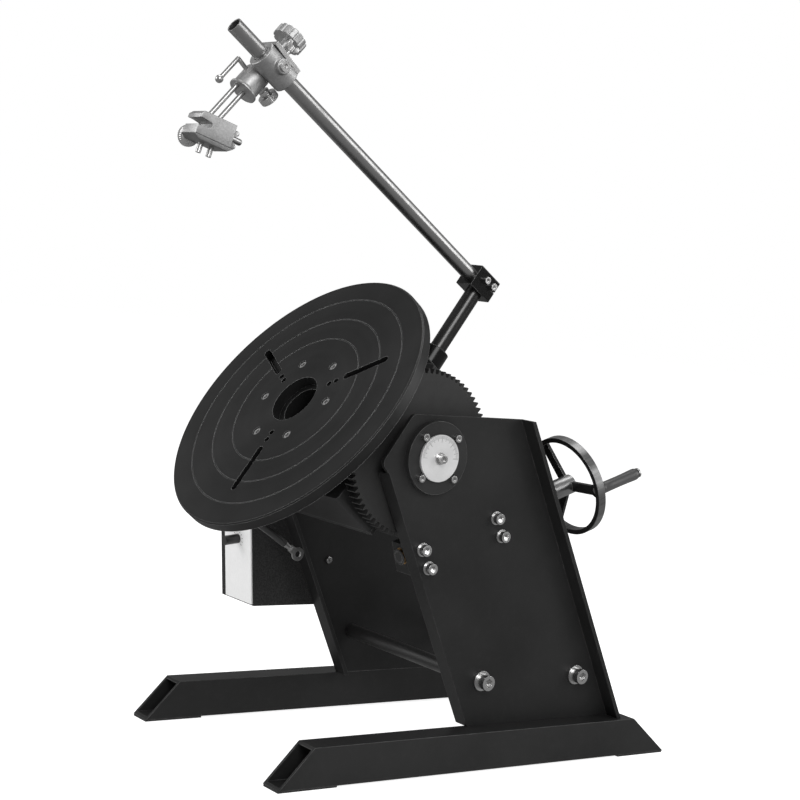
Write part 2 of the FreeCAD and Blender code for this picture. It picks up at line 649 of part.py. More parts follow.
def make_housing():
    """A box that carries the spindle, open at the back and closed by a cover."""
    body = doc.addObject("PartDesign::Body", "housing_block")
    last = pad(body, "XY_Plane", [
        ("-housing_wide / 2", "-housing_down"), ("housing_wide / 2", "-housing_down"),
        ("housing_wide / 2", "housing_up"), ("-housing_wide / 2", "housing_up")],
        "housing_face - housing_deep", "housing_deep")
    depth = Vector(0, 0, 1)
    round_edges(body, last, "housing_round", lambda edge: runs_along(edge, depth))
    hollow = box("housing_wide - 2 * housing_wall", "housing_down + housing_up - 2 * housing_wall",
                 "housing_deep - housing_wall",
                 ("-housing_wide / 2 + housing_wall", "-housing_down + housing_wall",
                  "housing_face - housing_deep"))
    mouth = rod("snout_bore", "2 * housing_wall",
                ("0", "-spindle_drop", "housing_face - 1.5 * housing_wall"))
    node("tilt_housing", cut(body, hollow, mouth), HEAD)
    back = "housing_face - housing_deep - cover_thick"
    plate = box("housing_wide", "housing_down + housing_up", "cover_thick",
                ("-housing_wide / 2", "-housing_down", back))
    hole = rod("motor_shaft_dia + 8", "cover_thick", ("0", pinion_up, back))
    screws = []
    tools = [hole]
    for x in ("-(housing_wide / 2 - cover_inset)", "(housing_wide / 2 - cover_inset)"):
        for y in ("-(housing_down - cover_inset)", "(housing_up - housing_down) / 2",
                  "(housing_up - cover_inset)"):
            screws.append(rod("2 * cover_bolt", "0.6 * cover_bolt",
                              (x, y, "%s - 0.6 * cover_bolt" % back)))
    node("housing_cover", cut(plate, *tools), HEAD)
    HEAD_SCREWS.extend(screws)


pinion_up = "(module * (gear_teeth + pinion_teeth) / 2 - spindle_drop)"


def make_trunnions():
    """A stub shaft on each side of the housing, turning in the plates' bushes."""
    face = "(housing_wide / 2)"
    end = "(%s + bearing_flange + face_gap)" % plate_out
    for name, side in SIDES.items():
        start, length = span(side, face, "%s + trunnion_flange" % face)
        flange = rod("trunnion_flange_dia", length, (start, "0", "0"), "x")
        start, length = span(side, face, end)
        shaft = rod("trunnion_dia", length, (start, "0", "0"), "x")
        start, length = span(side, "%s - dial_thread" % end, end)
        tap = rod("dial_bolt", length, (start, "0", "0"), "x")
        node(name + "_trunnion", cut(fuse(flange, shaft), tap), HEAD)
    start, length = span(NEAR, end, "%s + dial_thick" % end)
    disc = cut(rod("dial_dia", length, (start, "0", "0"), "x"),
               rod("dial_bolt", length, (start, "0", "0"), "x"))
    node("dial_disc", disc, HEAD)
    start, length = span(FAR, end, "%s + dial_thick" % end)
    cap = cut(rod("dial_dia", length, (start, "0", "0"), "x"),
              rod("dial_bolt", length, (start, "0", "0"), "x"))
    node("far_end_cap", cap, HEAD)
    screws = []
    for side in SIDES.values():
        top = "(%s + dial_thick)" % end
        screws.append(washer("dial_washer", "dial_bolt", "dial_washer_thick", top,
                             ("0", "0"), side))
        screws.append(socket_bolt("dial_bolt", "dial_thread + dial_thick + dial_washer_thick",
                                  "dial_head", "dial_head_high",
                                  "(%s + dial_washer_thick)" % top, ("0", "0"), side))
    HEAD_SCREWS.extend(screws)
    node("head_screws", group(HEAD_SCREWS), HEAD)


# ---- spindle ---------------------------------------------------------------------

table_back = "(table_face - table_thick)"
spindle_face = "(table_face - table_thick - spindle_flange)"
spindle_at = ("0", "-spindle_drop")


def make_spindle():
    """The hollow spindle with its table flange, housing snout and bearings."""
    tail = "(housing_face - housing_deep + spindle_tail)"
    flange = rod("spindle_flange_dia", "spindle_flange", spindle_at + (spindle_face,))
    shaft = rod("spindle_dia", "%s - %s" % (spindle_face, tail), spindle_at + (tail,))
    bore = rod("spindle_bore", "%s - %s" % (table_back, tail), spindle_at + (tail,))
    holes = [rod("screw_dia", "spindle_flange", (x, y, spindle_face)) for x, y in screw_spots()]
    node("spindle", cut(fuse(flange, shaft), bore, *holes), HEAD)
    snout_from = "(housing_face)"
    snout_end = "(%s - snout_gap)" % spindle_face
    shell = rod("snout_dia", "%s - %s" % (snout_end, snout_from), spindle_at + (snout_from,))
    inner = rod("snout_bore", "%s - %s" % (snout_end, snout_from), spindle_at + (snout_from,))
    node("spindle_snout", cut(shell, inner), HEAD)
    rings = []
    for low in (snout_from, "%s - bearing_wide" % snout_end):
        ring = rod("snout_bore", "bearing_wide", spindle_at + (low,))
        eye = rod("spindle_dia + 2 * running_fit", "bearing_wide", spindle_at + (low,))
        rings.append(cut(ring, eye))
    node("spindle_bearings", group(rings), HEAD)


def screw_spots():
    """Places of the six table screws, in the head's frame."""
    spots = []
    for step in range(6):
        turn = "(screw_turn + %d)" % (60 * step)
        spots.append(("screw_circle / 2 * cos%s" % turn,
                      "screw_circle / 2 * sin%s - spindle_drop" % turn))
    return spots


def make_table():
    """The round table: bore, three fine grooves, three slots, tapped and screw holes."""
    middle = Vector(0, -size("spindle_drop"), 0)
    face = "table_face"
    edge = doc.addObject("Part::Cone", "edge")
    edge.setExpression("Radius1", formula("table_dia / 2"))
    edge.setExpression("Radius2", formula("table_dia / 2 - table_edge"))
    edge.setExpression("Height", formula("table_edge"))
    set_at(edge, spindle_at + ("%s - table_edge" % face,))
    disc = rod("table_dia", "table_thick - table_edge", spindle_at + (table_back,))
    tools = [rod("table_bore", "table_thick", spindle_at + (table_back,))]
    for dia in ("groove_1", "groove_2", "groove_3"):
        low = "%s - groove_deep" % face
        tools.append(cut(rod("%s + groove_wide" % dia, "groove_deep", spindle_at + (low,)),
                         rod("%s - groove_wide" % dia, "groove_deep", spindle_at + (low,))))
    for turn in (0, 120, 240):
        low = table_back
        slot = [box("slot_to - slot_from - slot_wide", "slot_wide", "table_thick",
                    ("slot_from + slot_wide / 2", "-slot_wide / 2", low)),
                rod("slot_wide", "table_thick", ("slot_from + slot_wide / 2", "0", low)),
                rod("slot_wide", "table_thick", ("slot_to - slot_wide / 2", "0", low)),
                rod("tap_dia", "table_thick", ("tap_inner", "0", low)),
                rod("tap_dia", "table_thick", ("tap_outer", "0", low))]
        tools.append(turned(group(slot), Vector(0, 0, 1), turn + size("slot_turn"),
                            Placement(middle, Rotation())))
    for x, y in screw_spots():
        tools.append(rod("screw_dia", "table_thick", (x, y, table_back)))
        tools.append(rod("screw_recess", "screw_recess_deep",
                         (x, y, "%s - screw_recess_deep" % face)))
    item = fuse(disc, edge)
    for tool in tools:
        item = cut(item, tool)
    node("table_plate", item, HEAD)
    screws = []
    for x, y in screw_spots():
        seat_z = "(%s - screw_recess_deep)" % face
        head = rod("screw_head", "screw_head_high", (x, y, seat_z))
        shank = rod("screw_dia", "%s - %s" % (seat_z, spindle_face), (x, y, spindle_face))
        key = hexagon("0.5 * screw_head", "screw_head_high / 2",
                      (x, y, "%s + screw_head_high / 2" % seat_z))
        screws.append(cut(fuse(head, shank), key))
    node("table_screws", group(screws), HEAD)


def make_gears():
    """The gear on the spindle's tail and the motor's pinion."""
    module = size("module")
    low = size("housing_face") - size("housing_deep") + size("spindle_tail") + size("gear_from")
    wide = size("gear_wide")
    gear_teeth = int(size("gear_teeth"))
    pinion_teeth = int(size("pinion_teeth"))
    half_gap = math.pi / pinion_teeth
    gear = toothed_disc(gear_teeth, wide, module, math.pi / 2)
    gear = gear.cut(Part.makeCylinder(size("spindle_dia") / 2, wide))
    gear.translate(Vector(0, -size("spindle_drop"), low))
    node("spindle_gear", feature(gear), HEAD)
    pinion = toothed_disc(pinion_teeth, wide, module, -math.pi / 2 + half_gap)
    centre = module * (gear_teeth + pinion_teeth) / 2 - size("spindle_drop")
    back = size("housing_face") - size("housing_deep") - size("cover_thick")
    shaft_in = size("motor_shaft_in")
    shaft = Part.makeCylinder(size("motor_shaft_dia") / 2, low - back + shaft_in,
                              Vector(0, 0, back - low - shaft_in))
    pinion = pinion.fuse(shaft)
    pinion.translate(Vector(0, centre, low))
    node("drive_pinion", feature(pinion), HEAD)


def make_gearmotor():
    """The gearmotor on the back cover, with a bore for its output shaft."""
    back = "(housing_face - housing_deep - cover_thick)"
    gearbox = box("motor_dia", "motor_dia", "gearbox_long",
                  ("-motor_dia / 2", "%s - motor_dia / 2" % pinion_up,
                   "%s - gearbox_long" % back))
    motor = rod("motor_dia - 6", "motor_long - gearbox_long",
                ("0", pinion_up, "%s - motor_long" % back))
    bore = rod("motor_shaft_dia + 2 * running_fit", "motor_shaft_in + face_gap / 2",
               ("0", pinion_up, "%s - motor_shaft_in - face_gap / 2" % back))
    node("gearmotor", cut(fuse(gearbox, motor), bore), HEAD)


# ---- post, corner clamp and arm ------------------------------------------------------

def along_post(item):
    """Put an object of the post's frame into the head's frame."""
    return placed(item, HEAD.inverse().multiply(POST))


def make_post():
    """A socket on the housing and the post in it."""
    base = box("socket_base", "socket_base_thick", "socket_base",
               ("post_side - socket_base / 2", "housing_up", "post_back - socket_base / 2"))
    base = cut(base, along_post(rod("post_dia", "3 * socket_base_thick",
                                    ("0", "-socket_base_thick", "0"), "y")))
    collar = along_post(rod("socket_dia", "socket_high", ("0", "socket_base_thick / 2", "0"), "y"))
    bore = along_post(rod("post_dia", "3 * socket_high", ("0", "-socket_high", "0"), "y"))
    trim = box("2 * socket_base", "socket_base", "2 * socket_base",
               ("post_side - socket_base", "housing_up - socket_base", "post_back - socket_base"))
    node("post_socket", cut(fuse(base, collar), bore, trim), HEAD)
    length = "post_reach + clamp_high / 2 - post_cap - socket_base_thick / 2"
    tube = cut(rod("post_dia", length, ("0", "socket_base_thick / 2", "0"), "y"),
               rod("post_dia - 2 * post_wall", length, ("0", "socket_base_thick / 2", "0"), "y"))
    node("post_tube", tube, POST)


def make_arm():
    """The corner clamp that swivels on the post, and the arm on its spigot."""
    block = box("clamp_wide", "clamp_high", "clamp_back + clamp_front",
                ("-clamp_wide / 2", "-clamp_high / 2", "-clamp_back"))
    socket = rod("post_dia + 2 * running_fit", "clamp_high - post_cap + 0.5",
                 ("0", "-clamp_high / 2", "0"), "y")
    spigot = rod("arm_dia - 2 * arm_wall", "spigot_long", ("0", "0", "clamp_front - tube_seat"))
    slit = box("clamp_wide", "slit_wide", "clamp_back - post_dia / 2 + 0.5",
               ("-clamp_wide / 2", "-slit_wide / 2", "-clamp_back"))
    holes = []
    screws = []
    for z in ("clamp_back * 0.3", "-clamp_back * 0.5"):
        deep = "clamp_wide / 2 - post_dia / 2 - 1"
        start = "clamp_wide / 2 - (%s)" % deep
        holes.append(rod("clamp_screw", deep, (start, "clamp_high / 8", z), "x"))
        shank = rod("clamp_screw", deep, (start, "clamp_high / 8", z), "x")
        head = rod("clamp_screw_head", "clamp_screw", ("clamp_wide / 2", "clamp_high / 8", z), "x")
        key = hexagon("clamp_screw_head * 0.5", "clamp_screw / 2",
                      ("clamp_wide / 2 + clamp_screw / 2", "clamp_high / 8", z), "x")
        screws.append(cut(fuse(shank, head), key))
    node("corner_clamp", cut(fuse(block, spigot), socket, slit, *holes), ARM)
    node("clamp_screws", group(screws), ARM)
    length = "arm_reach - clamp_front"
    tube = cut(rod("arm_dia", length, ("0", "0", "clamp_front")),
               rod("arm_dia - 2 * arm_wall", length, ("0", "0", "clamp_front")))
    node("arm_tube", tube, ARM)


# ---- torch holder ----------------------------------------------------------------

def crossed(item):
    """Put an object of the cross slide's frame into the clamp's frame."""
    return placed(item, IN_CLAMP)


barrel_low = "(-barrel_from - barrel_long)"
rod_places = ("(rod_shift - rod_gap / 2)", "(rod_shift + rod_gap / 2)")


def make_holder():
    """The clamp on the arm with its boss and screw, the rail and the slide barrel."""
    bore = rod("arm_dia + 2 * running_fit", "3 * holder_long", ("0", "0", "-holder_long"))
    clamp = rod("holder_dia", "holder_long", ("0", "0", "-holder_long / 2"))
    boss = rod("boss_dia", "boss_reach", ("0", "0", "0"), "x")
    shelf = box("boss_dia / 2 - cross_side", "rail_seat + 2", "shelf_long",
                ("cross_side", "0", "-shelf_long / 2"))
    column = crossed(rod("column_dia", "barrel_from + rail_seat", ("0", "-barrel_from", "0"), "y"))
    above = crossed(box("3 * rail_wide", "rail_wide", "3 * rail_long",
                        ("-rail_wide", "rail_seat", "-1.5 * rail_long")))
    beside = crossed(rod("barrel_dia", "barrel_long", ("0", barrel_low, "0"), "y"))
    tap_from = "(arm_dia / 2 + 1)"
    tap = rod("boss_screw", "boss_reach", (tap_from, "0", "0"), "x")
    node("holder_clamp", cut(fuse(clamp, boss, shelf, column), bore, tap, above, beside), CLAMP)
    shank = rod("boss_screw", "boss_reach - %s" % tap_from, (tap_from, "0", "0"), "x")
    head = rod("boss_head", "boss_head_high", ("boss_reach", "0", "0"), "x")
    key = hexagon("boss_screw * 0.6", "boss_head_high", ("boss_reach + 1", "0", "0"), "x")
    node("holder_screw", cut(fuse(shank, head), key), CLAMP)
    plate = box("rail_wide", "rail_thick", "rail_long",
                ("rail_side - rail_wide / 2", "rail_seat", "-rail_long / 2"))
    stem_hole = rod("adjust_stem + 2 * running_fit", "rail_thick", ("0", "rail_seat", "0"), "y")
    node("holder_rail", cut(plate, stem_hole), CROSS)
    barrel = rod("barrel_dia", "barrel_long", ("0", barrel_low, "0"), "y")
    low = "(%s - end_plate)" % barrel_low
    plate = rod("end_plate_dia", "end_plate", ("0", low, "0"), "y")
    holes = [rod("rod_dia + 2 * running_fit", "barrel_long + end_plate", ("0", low, z), "y")
             for z in rod_places]
    holes.append(rod("lever_dia + 2 * running_fit", "2 * lever_seat",
                     ("0", "-lever_down", "barrel_dia / 2 - lever_seat"), "z"))
    node("slide_barrel", cut(fuse(barrel, plate), *holes), CROSS)


def make_holder_controls():
    """Adjusting knob, locking knob, cam lever and wing screw of the holder."""
    stem = rod("adjust_stem", "adjust_reach", ("0", "rail_seat + face_gap / 2", "0"), "y")
    knob_from = "(rail_seat + adjust_reach)"
    disc = rod("adjust_dia", "adjust_thick", ("0", knob_from, "0"), "y")
    lobes = []
    count = int(size("adjust_lobes"))
    for lobe in range(count):
        flute = rod("adjust_flute", "adjust_thick",
                    ("(adjust_dia + adjust_flute / 4) / 2", knob_from, "0"), "y")
        lobes.append(turned(flute, Vector(0, 1, 0), 360.0 / count * (lobe + 0.5)))
    node("adjuster_knob", cut(fuse(stem, disc), *lobes), CROSS)
    start = "-(barrel_dia / 2 + lock_reach)"
    stem = rod("lock_stem", "lock_reach - face_gap / 2", ("0", "-lock_down", start))
    grip = rod("lock_dia", "lock_thick", ("0", "-lock_down", "%s - lock_thick" % start))
    node("lock_knob", fuse(stem, grip), CROSS)
    top = "(barrel_dia / 2 + lever_stem)"
    foot = rod("lever_dia", "lever_stem + lever_seat - face_gap / 2",
               ("0", "-lever_down", "barrel_dia / 2 - lever_seat + face_gap / 2"))
    elbow = ball("lever_dia", ("0", "-lever_down", top))
    bar = rod("lever_dia", "lever_long", ("0", "-lever_down - lever_long", top), "y")
    tip = ball("lever_ball", ("0", "-lever_down - lever_long", top))
    node("cam_lever", fuse(foot, elbow, bar, tip), CROSS)
    seat = "(rail_seat + rail_thick)"
    shank = rod("wing_dia", "wing_neck + 2", ("wing_side", "%s + face_gap / 2" % seat, "0"), "y")
    wings = box("wing_thick", "wing_high", "wing_span",
                ("wing_side - wing_thick / 2", "%s + wing_neck" % seat, "-wing_span / 2"))
    notch = rod("wing_span / 2.5", "2 * wing_thick",
                ("wing_side - wing_thick", "%s + wing_neck + wing_high" % seat, "0"), "x")
    node("wing_screw", cut(fuse(shank, wings), notch), CROSS)


def make_torch_clip():
    """Two guide rods that carry the torch block, its knob and its screws."""
    rods = [rod("rod_dia", "rod_low - rod_top", ("0", "-rod_low", z), "y") for z in rod_places]
    node("guide_rods", group(rods), CROSS)
    body = doc.addObject("PartDesign::Body", "torch_body")
    pad(body, "YZ_Plane", [
        ("-block_top", "-block_back"), ("-block_top", "block_front - block_bevel"),
        ("-block_top - block_bevel", "block_front"), ("-block_low", "block_front"),
        ("-block_low", "block_front + sole_over"),
        ("-block_low - sole_thick", "block_front - sole_thick"),
        ("-block_low - sole_thick", "-block_back - sole_over + sole_thick"),
        ("-block_low", "-block_back - 2 * sole_over"), ("-block_low", "-block_back")],
        "-block_wide / 2", "block_wide")
    slot = box("block_wide", "slot_high", "slot_long",
               ("-block_wide / 2", "-block_top - slot_down - slot_high", "block_front - slot_long"))
    into_clip = CLIP.inverse().multiply(CROSS)
    tools = [slot]
    for z in rod_places:
        tools.append(placed(rod("rod_dia", "rod_low - rod_top", ("0", "-rod_low", z), "y"), into_clip))
    middle = "(-(block_top + block_low) / 2)"
    tools.append(rod("tee_dia", "tee_seat", ("0", middle, "-block_back"), "z"))
    under = "(-block_low - sole_thick)"
    screws = []
    for z in ("sole_screw_front", "-sole_screw_back"):
        tools.append(rod("sole_screw", "sole_screw_seat", ("0", under, z), "y"))
        screws.append(rod("sole_screw", "sole_screw_long + sole_screw_seat",
                          ("0", "%s - sole_screw_long" % under, z), "y"))
    node("torch_block", cut(body, *tools), CLIP)
    node("torch_screws", group(screws), CLIP)
    knob = rod("side_knob_dia", "side_knob_thick",
               ("-block_wide / 2 - side_knob_thick - face_gap / 2", "-block_low",
                "side_knob_front"), "x")
    node("torch_knob", knob, CLIP)
    end = "(-block_back - tee_long)"
    shank = rod("tee_dia", "tee_long + tee_seat", ("0", middle, end))
    bar = rod("tee_bar", "tee_span", ("0", "%s - tee_span / 2" % middle, "%s + tee_dia" % end), "y")
    node("tee_screw", fuse(shank, bar), CLIP)


# ---- earth connection ------------------------------------------------------------

def make_earth():
    """A brush holder under the snout with a crimped lug for the return cable."""
    low = "(-(spindle_drop + snout_dia / 2) - earth_long + earth_seat)"
    out = "(housing_face + earth_out)"
    stub = rod("earth_dia", "earth_long", ("earth_side", low, out), "y")
    node("earth_stub", cut(stub, rod("snout_dia", "3 * earth_out", spindle_at + ("housing_face",))),
         HEAD)
    side = "(earth_side - earth_thick / 2)"
    strap = box("earth_thick", "earth_strap", "earth_dia",
                (side, "%s - earth_strap" % low, "%s - earth_dia / 2" % out))
    eye = rod("earth_eye", "earth_thick", (side, "%s - earth_strap" % low, out), "x")
    hole = rod("earth_hole", "earth_thick", (side, "%s - earth_strap" % low, out), "x")
    node("earth_lug", cut(fuse(strap, eye), hole), HEAD)


# ---- control box ------------------------------------------------------------------

def box_profile(skin):
    """The box's side view, drawn in by SKIN: upright back, front leaning out at the top."""
    low = "(box_low + %s)" % skin
    high = "(box_low + box_high - %s)" % skin
    rear = "(box_deep - box_front - %s)" % skin
    front = "(%s - box_front)" % skin
    return [("%s + %s * tan(box_lean)" % (front, skin), high), (rear, high), (rear, low),
            ("%s + (box_high - %s) * tan(box_lean)" % (front, skin), low)]


def make_control_box():
    """A folded sheet box on the outside of the far plate, with its panel and controls."""
    left = "(-%s - box_wide)" % plate_out
    shell = doc.addObject("PartDesign::Body", "box_shell")
    pad(shell, "YZ_Plane", box_profile("0"), left, "box_wide")
    hollow = doc.addObject("PartDesign::Body", "box_hollow")
    pad(hollow, "YZ_Plane", box_profile("box_skin"), "%s + box_skin" % left,
        "box_wide - 2 * box_skin")
    tall = "(box_high / cos(box_lean))"
    mouth = placed(box("box_wide - panel_side - 2 * box_lip", "4 * box_skin",
                       "%s - 2 * box_lip" % tall,
                       ("%s + panel_side + box_lip" % left, "-box_skin", "box_lip")), PANEL)
    node("control_box", cut(shell, hollow, mouth))
    plate = box("box_wide - panel_side - panel_inset", "panel_thick", "%s - 2 * panel_inset" % tall,
                ("%s + panel_side" % left, "-panel_thick", "panel_inset"))
    middle = "(%s + (box_wide + panel_side) / 2)" % left
    knob_z = "(%s - knob_down)" % tall
    switch_z = "(%s - switch_down)" % tall
    stem_hole = rod("knob_stem + 2 * running_fit", "panel_thick", (middle, "-panel_thick", knob_z), "y")
    window = box("switch_wide + 2 * switch_gap", "panel_thick", "switch_high + 2 * switch_gap",
                 ("%s - switch_wide / 2 - switch_gap" % middle, "-panel_thick",
                  "%s - switch_high / 2 - switch_gap" % switch_z))
    node("control_panel", cut(plate, stem_hole, window), PANEL)
    cap = rod("knob_dia", "knob_high",
              (middle, "-panel_thick - knob_high - face_gap / 2", knob_z), "y")
    stem = rod("knob_stem", "panel_thick + knob_seat", (middle, "-panel_thick - face_gap", knob_z), "y")
    node("speed_knob", fuse(cap, stem), PANEL)
    rocker = box("switch_wide", "switch_deep", "switch_high",
                 ("%s - switch_wide / 2" % middle, "-panel_thick - switch_deep / 2",
                  "%s - switch_high / 2" % switch_z))
    pivot = rod("switch_pin", "switch_wide + 2 * switch_gap",
                ("%s - switch_wide / 2 - switch_gap" % middle, "switch_pin / 2 + face_gap", switch_z), "x")
    node("direction_switch", fuse(rocker, pivot), PANEL)


make_feet()
make_pads()
make_side_plates()
make_tie_bars()
make_tilt_bearings()
make_worm_brackets()
make_worm_wheel()
make_worm()
make_worm_shaft()
make_handwheel()
make_housing()
make_trunnions()
make_spindle()
make_table()
make_gears()
make_gearmotor()
make_post()
make_arm()
make_holder()
make_holder_controls()
make_torch_clip()
make_earth()
make_control_box()

doc.recompute()
for item in doc.Objects:
    if "Invalid" in item.State or "Error" in item.State:
        raise RuntimeError("failed: %s %s %s" % (item.Name, item.Label, item.State))
for name, item in NODES.items():
    if item.Shape.isNull() or not item.Shape.isValid() or not item.Shape.Solids:
        raise RuntimeError("bad shape: " + name)

os.makedirs("parts", exist_ok=True)
for name, item in NODES.items():
    item.Shape.exportStep("parts/%s.step" % name)
    print(name, len(item.Shape.Solids), round(item.Shape.Volume))
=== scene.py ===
import bmesh
import bpy
import json
import math
from mathutils import Matrix, Vector


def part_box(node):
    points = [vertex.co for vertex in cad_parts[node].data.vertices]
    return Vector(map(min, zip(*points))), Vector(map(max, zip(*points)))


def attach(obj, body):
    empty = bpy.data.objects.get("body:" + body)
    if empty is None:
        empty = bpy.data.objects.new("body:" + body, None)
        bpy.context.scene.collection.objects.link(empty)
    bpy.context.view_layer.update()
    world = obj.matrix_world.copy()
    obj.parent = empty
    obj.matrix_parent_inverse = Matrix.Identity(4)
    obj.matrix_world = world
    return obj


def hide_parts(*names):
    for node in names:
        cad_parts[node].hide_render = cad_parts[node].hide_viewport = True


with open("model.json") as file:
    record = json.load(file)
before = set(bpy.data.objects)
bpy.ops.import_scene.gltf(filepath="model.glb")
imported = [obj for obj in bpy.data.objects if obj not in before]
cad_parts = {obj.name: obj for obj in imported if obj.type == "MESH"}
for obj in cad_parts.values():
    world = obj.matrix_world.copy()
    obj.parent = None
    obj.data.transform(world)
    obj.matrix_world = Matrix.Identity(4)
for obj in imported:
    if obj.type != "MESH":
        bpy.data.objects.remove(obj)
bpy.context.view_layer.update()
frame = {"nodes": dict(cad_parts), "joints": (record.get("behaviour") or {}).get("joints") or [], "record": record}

NODES = frame["nodes"]
JOINTS = {joint["name"]: joint for joint in frame["joints"]}
MM = 0.001


# ---- places taken from the frame ------------------------------------------------

def place_of(joint):
    """Where a hinge lies."""
    return Vector(JOINTS[joint]["pos_m"])


def frame_at(origin, z):
    """A frame with this z axis, and x across the machine."""
    z = Vector(z).normalized()
    x = Vector((1, 0, 0))
    turn = Matrix((x, z.cross(x), z)).transposed().to_4x4()
    return Matrix.Translation(origin) @ turn


TILT_POINT = place_of("tilt")
TABLE = frame_at(place_of("table_spin"), JOINTS["table_spin"]["axis"])
WHEEL = frame_at(place_of("worm_turn"), JOINTS["worm_turn"]["axis"])
CLIP = frame_at(place_of("tee_turn"), JOINTS["tee_turn"]["axis"])

# the clamping slots of the table: degrees to the first one, and millimetres from the spindle's axis
# to the centres of a slot's round ends
SLOT_TURN = 35
SLOT_INNER = 75
SLOT_OUTER = 128.5

# the middle of the small screw on the inner face of the far plate, in metres
PLATE_SCREW = (-0.130, 0.0135, 0.1958)


# ---- camera ---------------------------------------------------------------------

AIM = Vector((0, 0, 0.4172))
DISTANCE = 2.1221
AZIMUTH, ELEVATION, ROLL = (math.radians(a) for a in (52.37, 3.91, 6.28))


def make_camera():
    """A long lens from the near front corner, a little above the table, slightly rolled."""
    back = Vector((math.sin(AZIMUTH) * math.cos(ELEVATION),
                   -math.cos(AZIMUTH) * math.cos(ELEVATION), math.sin(ELEVATION)))
    right = Vector((math.cos(AZIMUTH), math.sin(AZIMUTH), 0))
    up = back.cross(right)
    side = right * math.cos(ROLL) + up * math.sin(ROLL)
    top = up * math.cos(ROLL) - right * math.sin(ROLL)
    data = bpy.data.cameras.new("camera")
    data.lens = 79.0
    data.sensor_width = 36.0
    data.clip_start = 0.05
    data.clip_end = 60
    camera = bpy.data.objects.new("camera", data)
    turn = Matrix((side, top, back)).transposed().to_4x4()
    camera.matrix_world = Matrix.Translation(AIM + back * DISTANCE) @ turn
    bpy.context.scene.collection.objects.link(camera)
    bpy.context.scene.camera = camera


# ---- shader tools -----------------------------------------------------------------

class Shader:
    """A material under construction: its nodes, its surface and its coordinates."""

    def __init__(self, name, place=None, **surface):
        self.material = bpy.data.materials.new(name)
        self.material.use_nodes = True
        self.tree = self.material.node_tree
        self.surface = self.tree.nodes["Principled BSDF"]
        self.place = self.add("TexCoord").outputs["Object"]
        if place is not None:
            self.place = self.in_frame(place)
        for socket, value in surface.items():
            self.put(socket.replace("_", " "), value)

    def add(self, kind, inputs=None, **settings):
        """Add a node with its settings, and set or link its inputs."""
        node = self.tree.nodes.new("ShaderNode" + kind)
        for key, value in settings.items():
            setattr(node, key, value)
        for socket, value in (inputs or {}).items():
            self.feed(node.inputs[socket], value)
        return node

    def feed(self, socket, value):
        """Link a socket to another, or set it."""
        if isinstance(value, bpy.types.NodeSocket):
            self.tree.links.new(value, socket)
        else:
            socket.default_value = value

    def put(self, socket, value):
        """Set or link an input of the surface."""
        self.feed(self.surface.inputs[socket], value)

    def in_frame(self, place):
        """Coordinates measured in a frame of the object, such as the spindle's."""
        inverse = place.inverted()
        return self.add("Mapping", {"Vector": self.place,
                                    "Location": tuple(inverse.to_translation()),
                                    "Rotation": tuple(inverse.to_euler())}).outputs[0]

    def math(self, operation, first, second=0.0):
        """One step of arithmetic."""
        return self.add("Math", {0: first, 1: second}, operation=operation).outputs[0]

    def split(self, vector=None):
        """The three coordinates apart."""
        return self.add("SeparateXYZ", {0: self.place if vector is None else vector}).outputs

    def noise(self, scale, detail=3.0, roughness=0.55, stretch=None):
        """Noise between 0 and 1, so many patches to the metre, drawn out along an axis."""
        where = self.place
        if stretch is not None:
            where = self.add("Mapping", {"Vector": where, "Scale": stretch}).outputs[0]
        return self.add("TexNoise", {"Vector": where, "Scale": scale, "Detail": detail,
                                     "Roughness": roughness}).outputs["Fac"]

    def between(self, value, low, high, start=0.0, end=1.0):
        """Carry a value from the range low-high to the range start-end, held at both ends."""
        return self.add("MapRange", {"Value": value, "From Min": low, "From Max": high,
                                     "To Min": start, "To Max": end}).outputs[0]

    def mixed(self, share, first, second):
        """A mix of two colours."""
        mix = self.add("Mix", data_type="RGBA")
        self.feed(mix.inputs[0], share)
        self.feed(mix.inputs[6], first)
        self.feed(mix.inputs[7], second)
        return mix.outputs[2]

    def soft_edges(self, radius):
        """A normal that rounds the sharp edges by this radius."""
        return self.add("Bevel", {"Radius": radius}, samples=6).outputs[0]

    def edge_mask(self, soft, low=0.01, high=0.12):
        """Where the rounded normal leaves the true one: the edges of the piece."""
        flat = self.add("NewGeometry").outputs["Normal"]
        dot = self.add("VectorMath", {0: soft, 1: flat}, operation="DOT_PRODUCT").outputs["Value"]
        return self.between(self.math("SUBTRACT", 1.0, dot), low, high)

    def bump(self, height, depth, normal=None, strength=1.0):
        """A bump of this depth in metres, on top of a normal."""
        inputs = {"Height": height, "Distance": depth, "Strength": strength}
        if normal is not None:
            inputs["Normal"] = normal
        return self.add("Bump", inputs).outputs[0]


def grey(value, warmth=0.0):
    """A neutral colour of this linear brightness."""
    return (value * (1 + warmth), value, value * (1 - warmth), 1.0)


# ---- materials --------------------------------------------------------------------

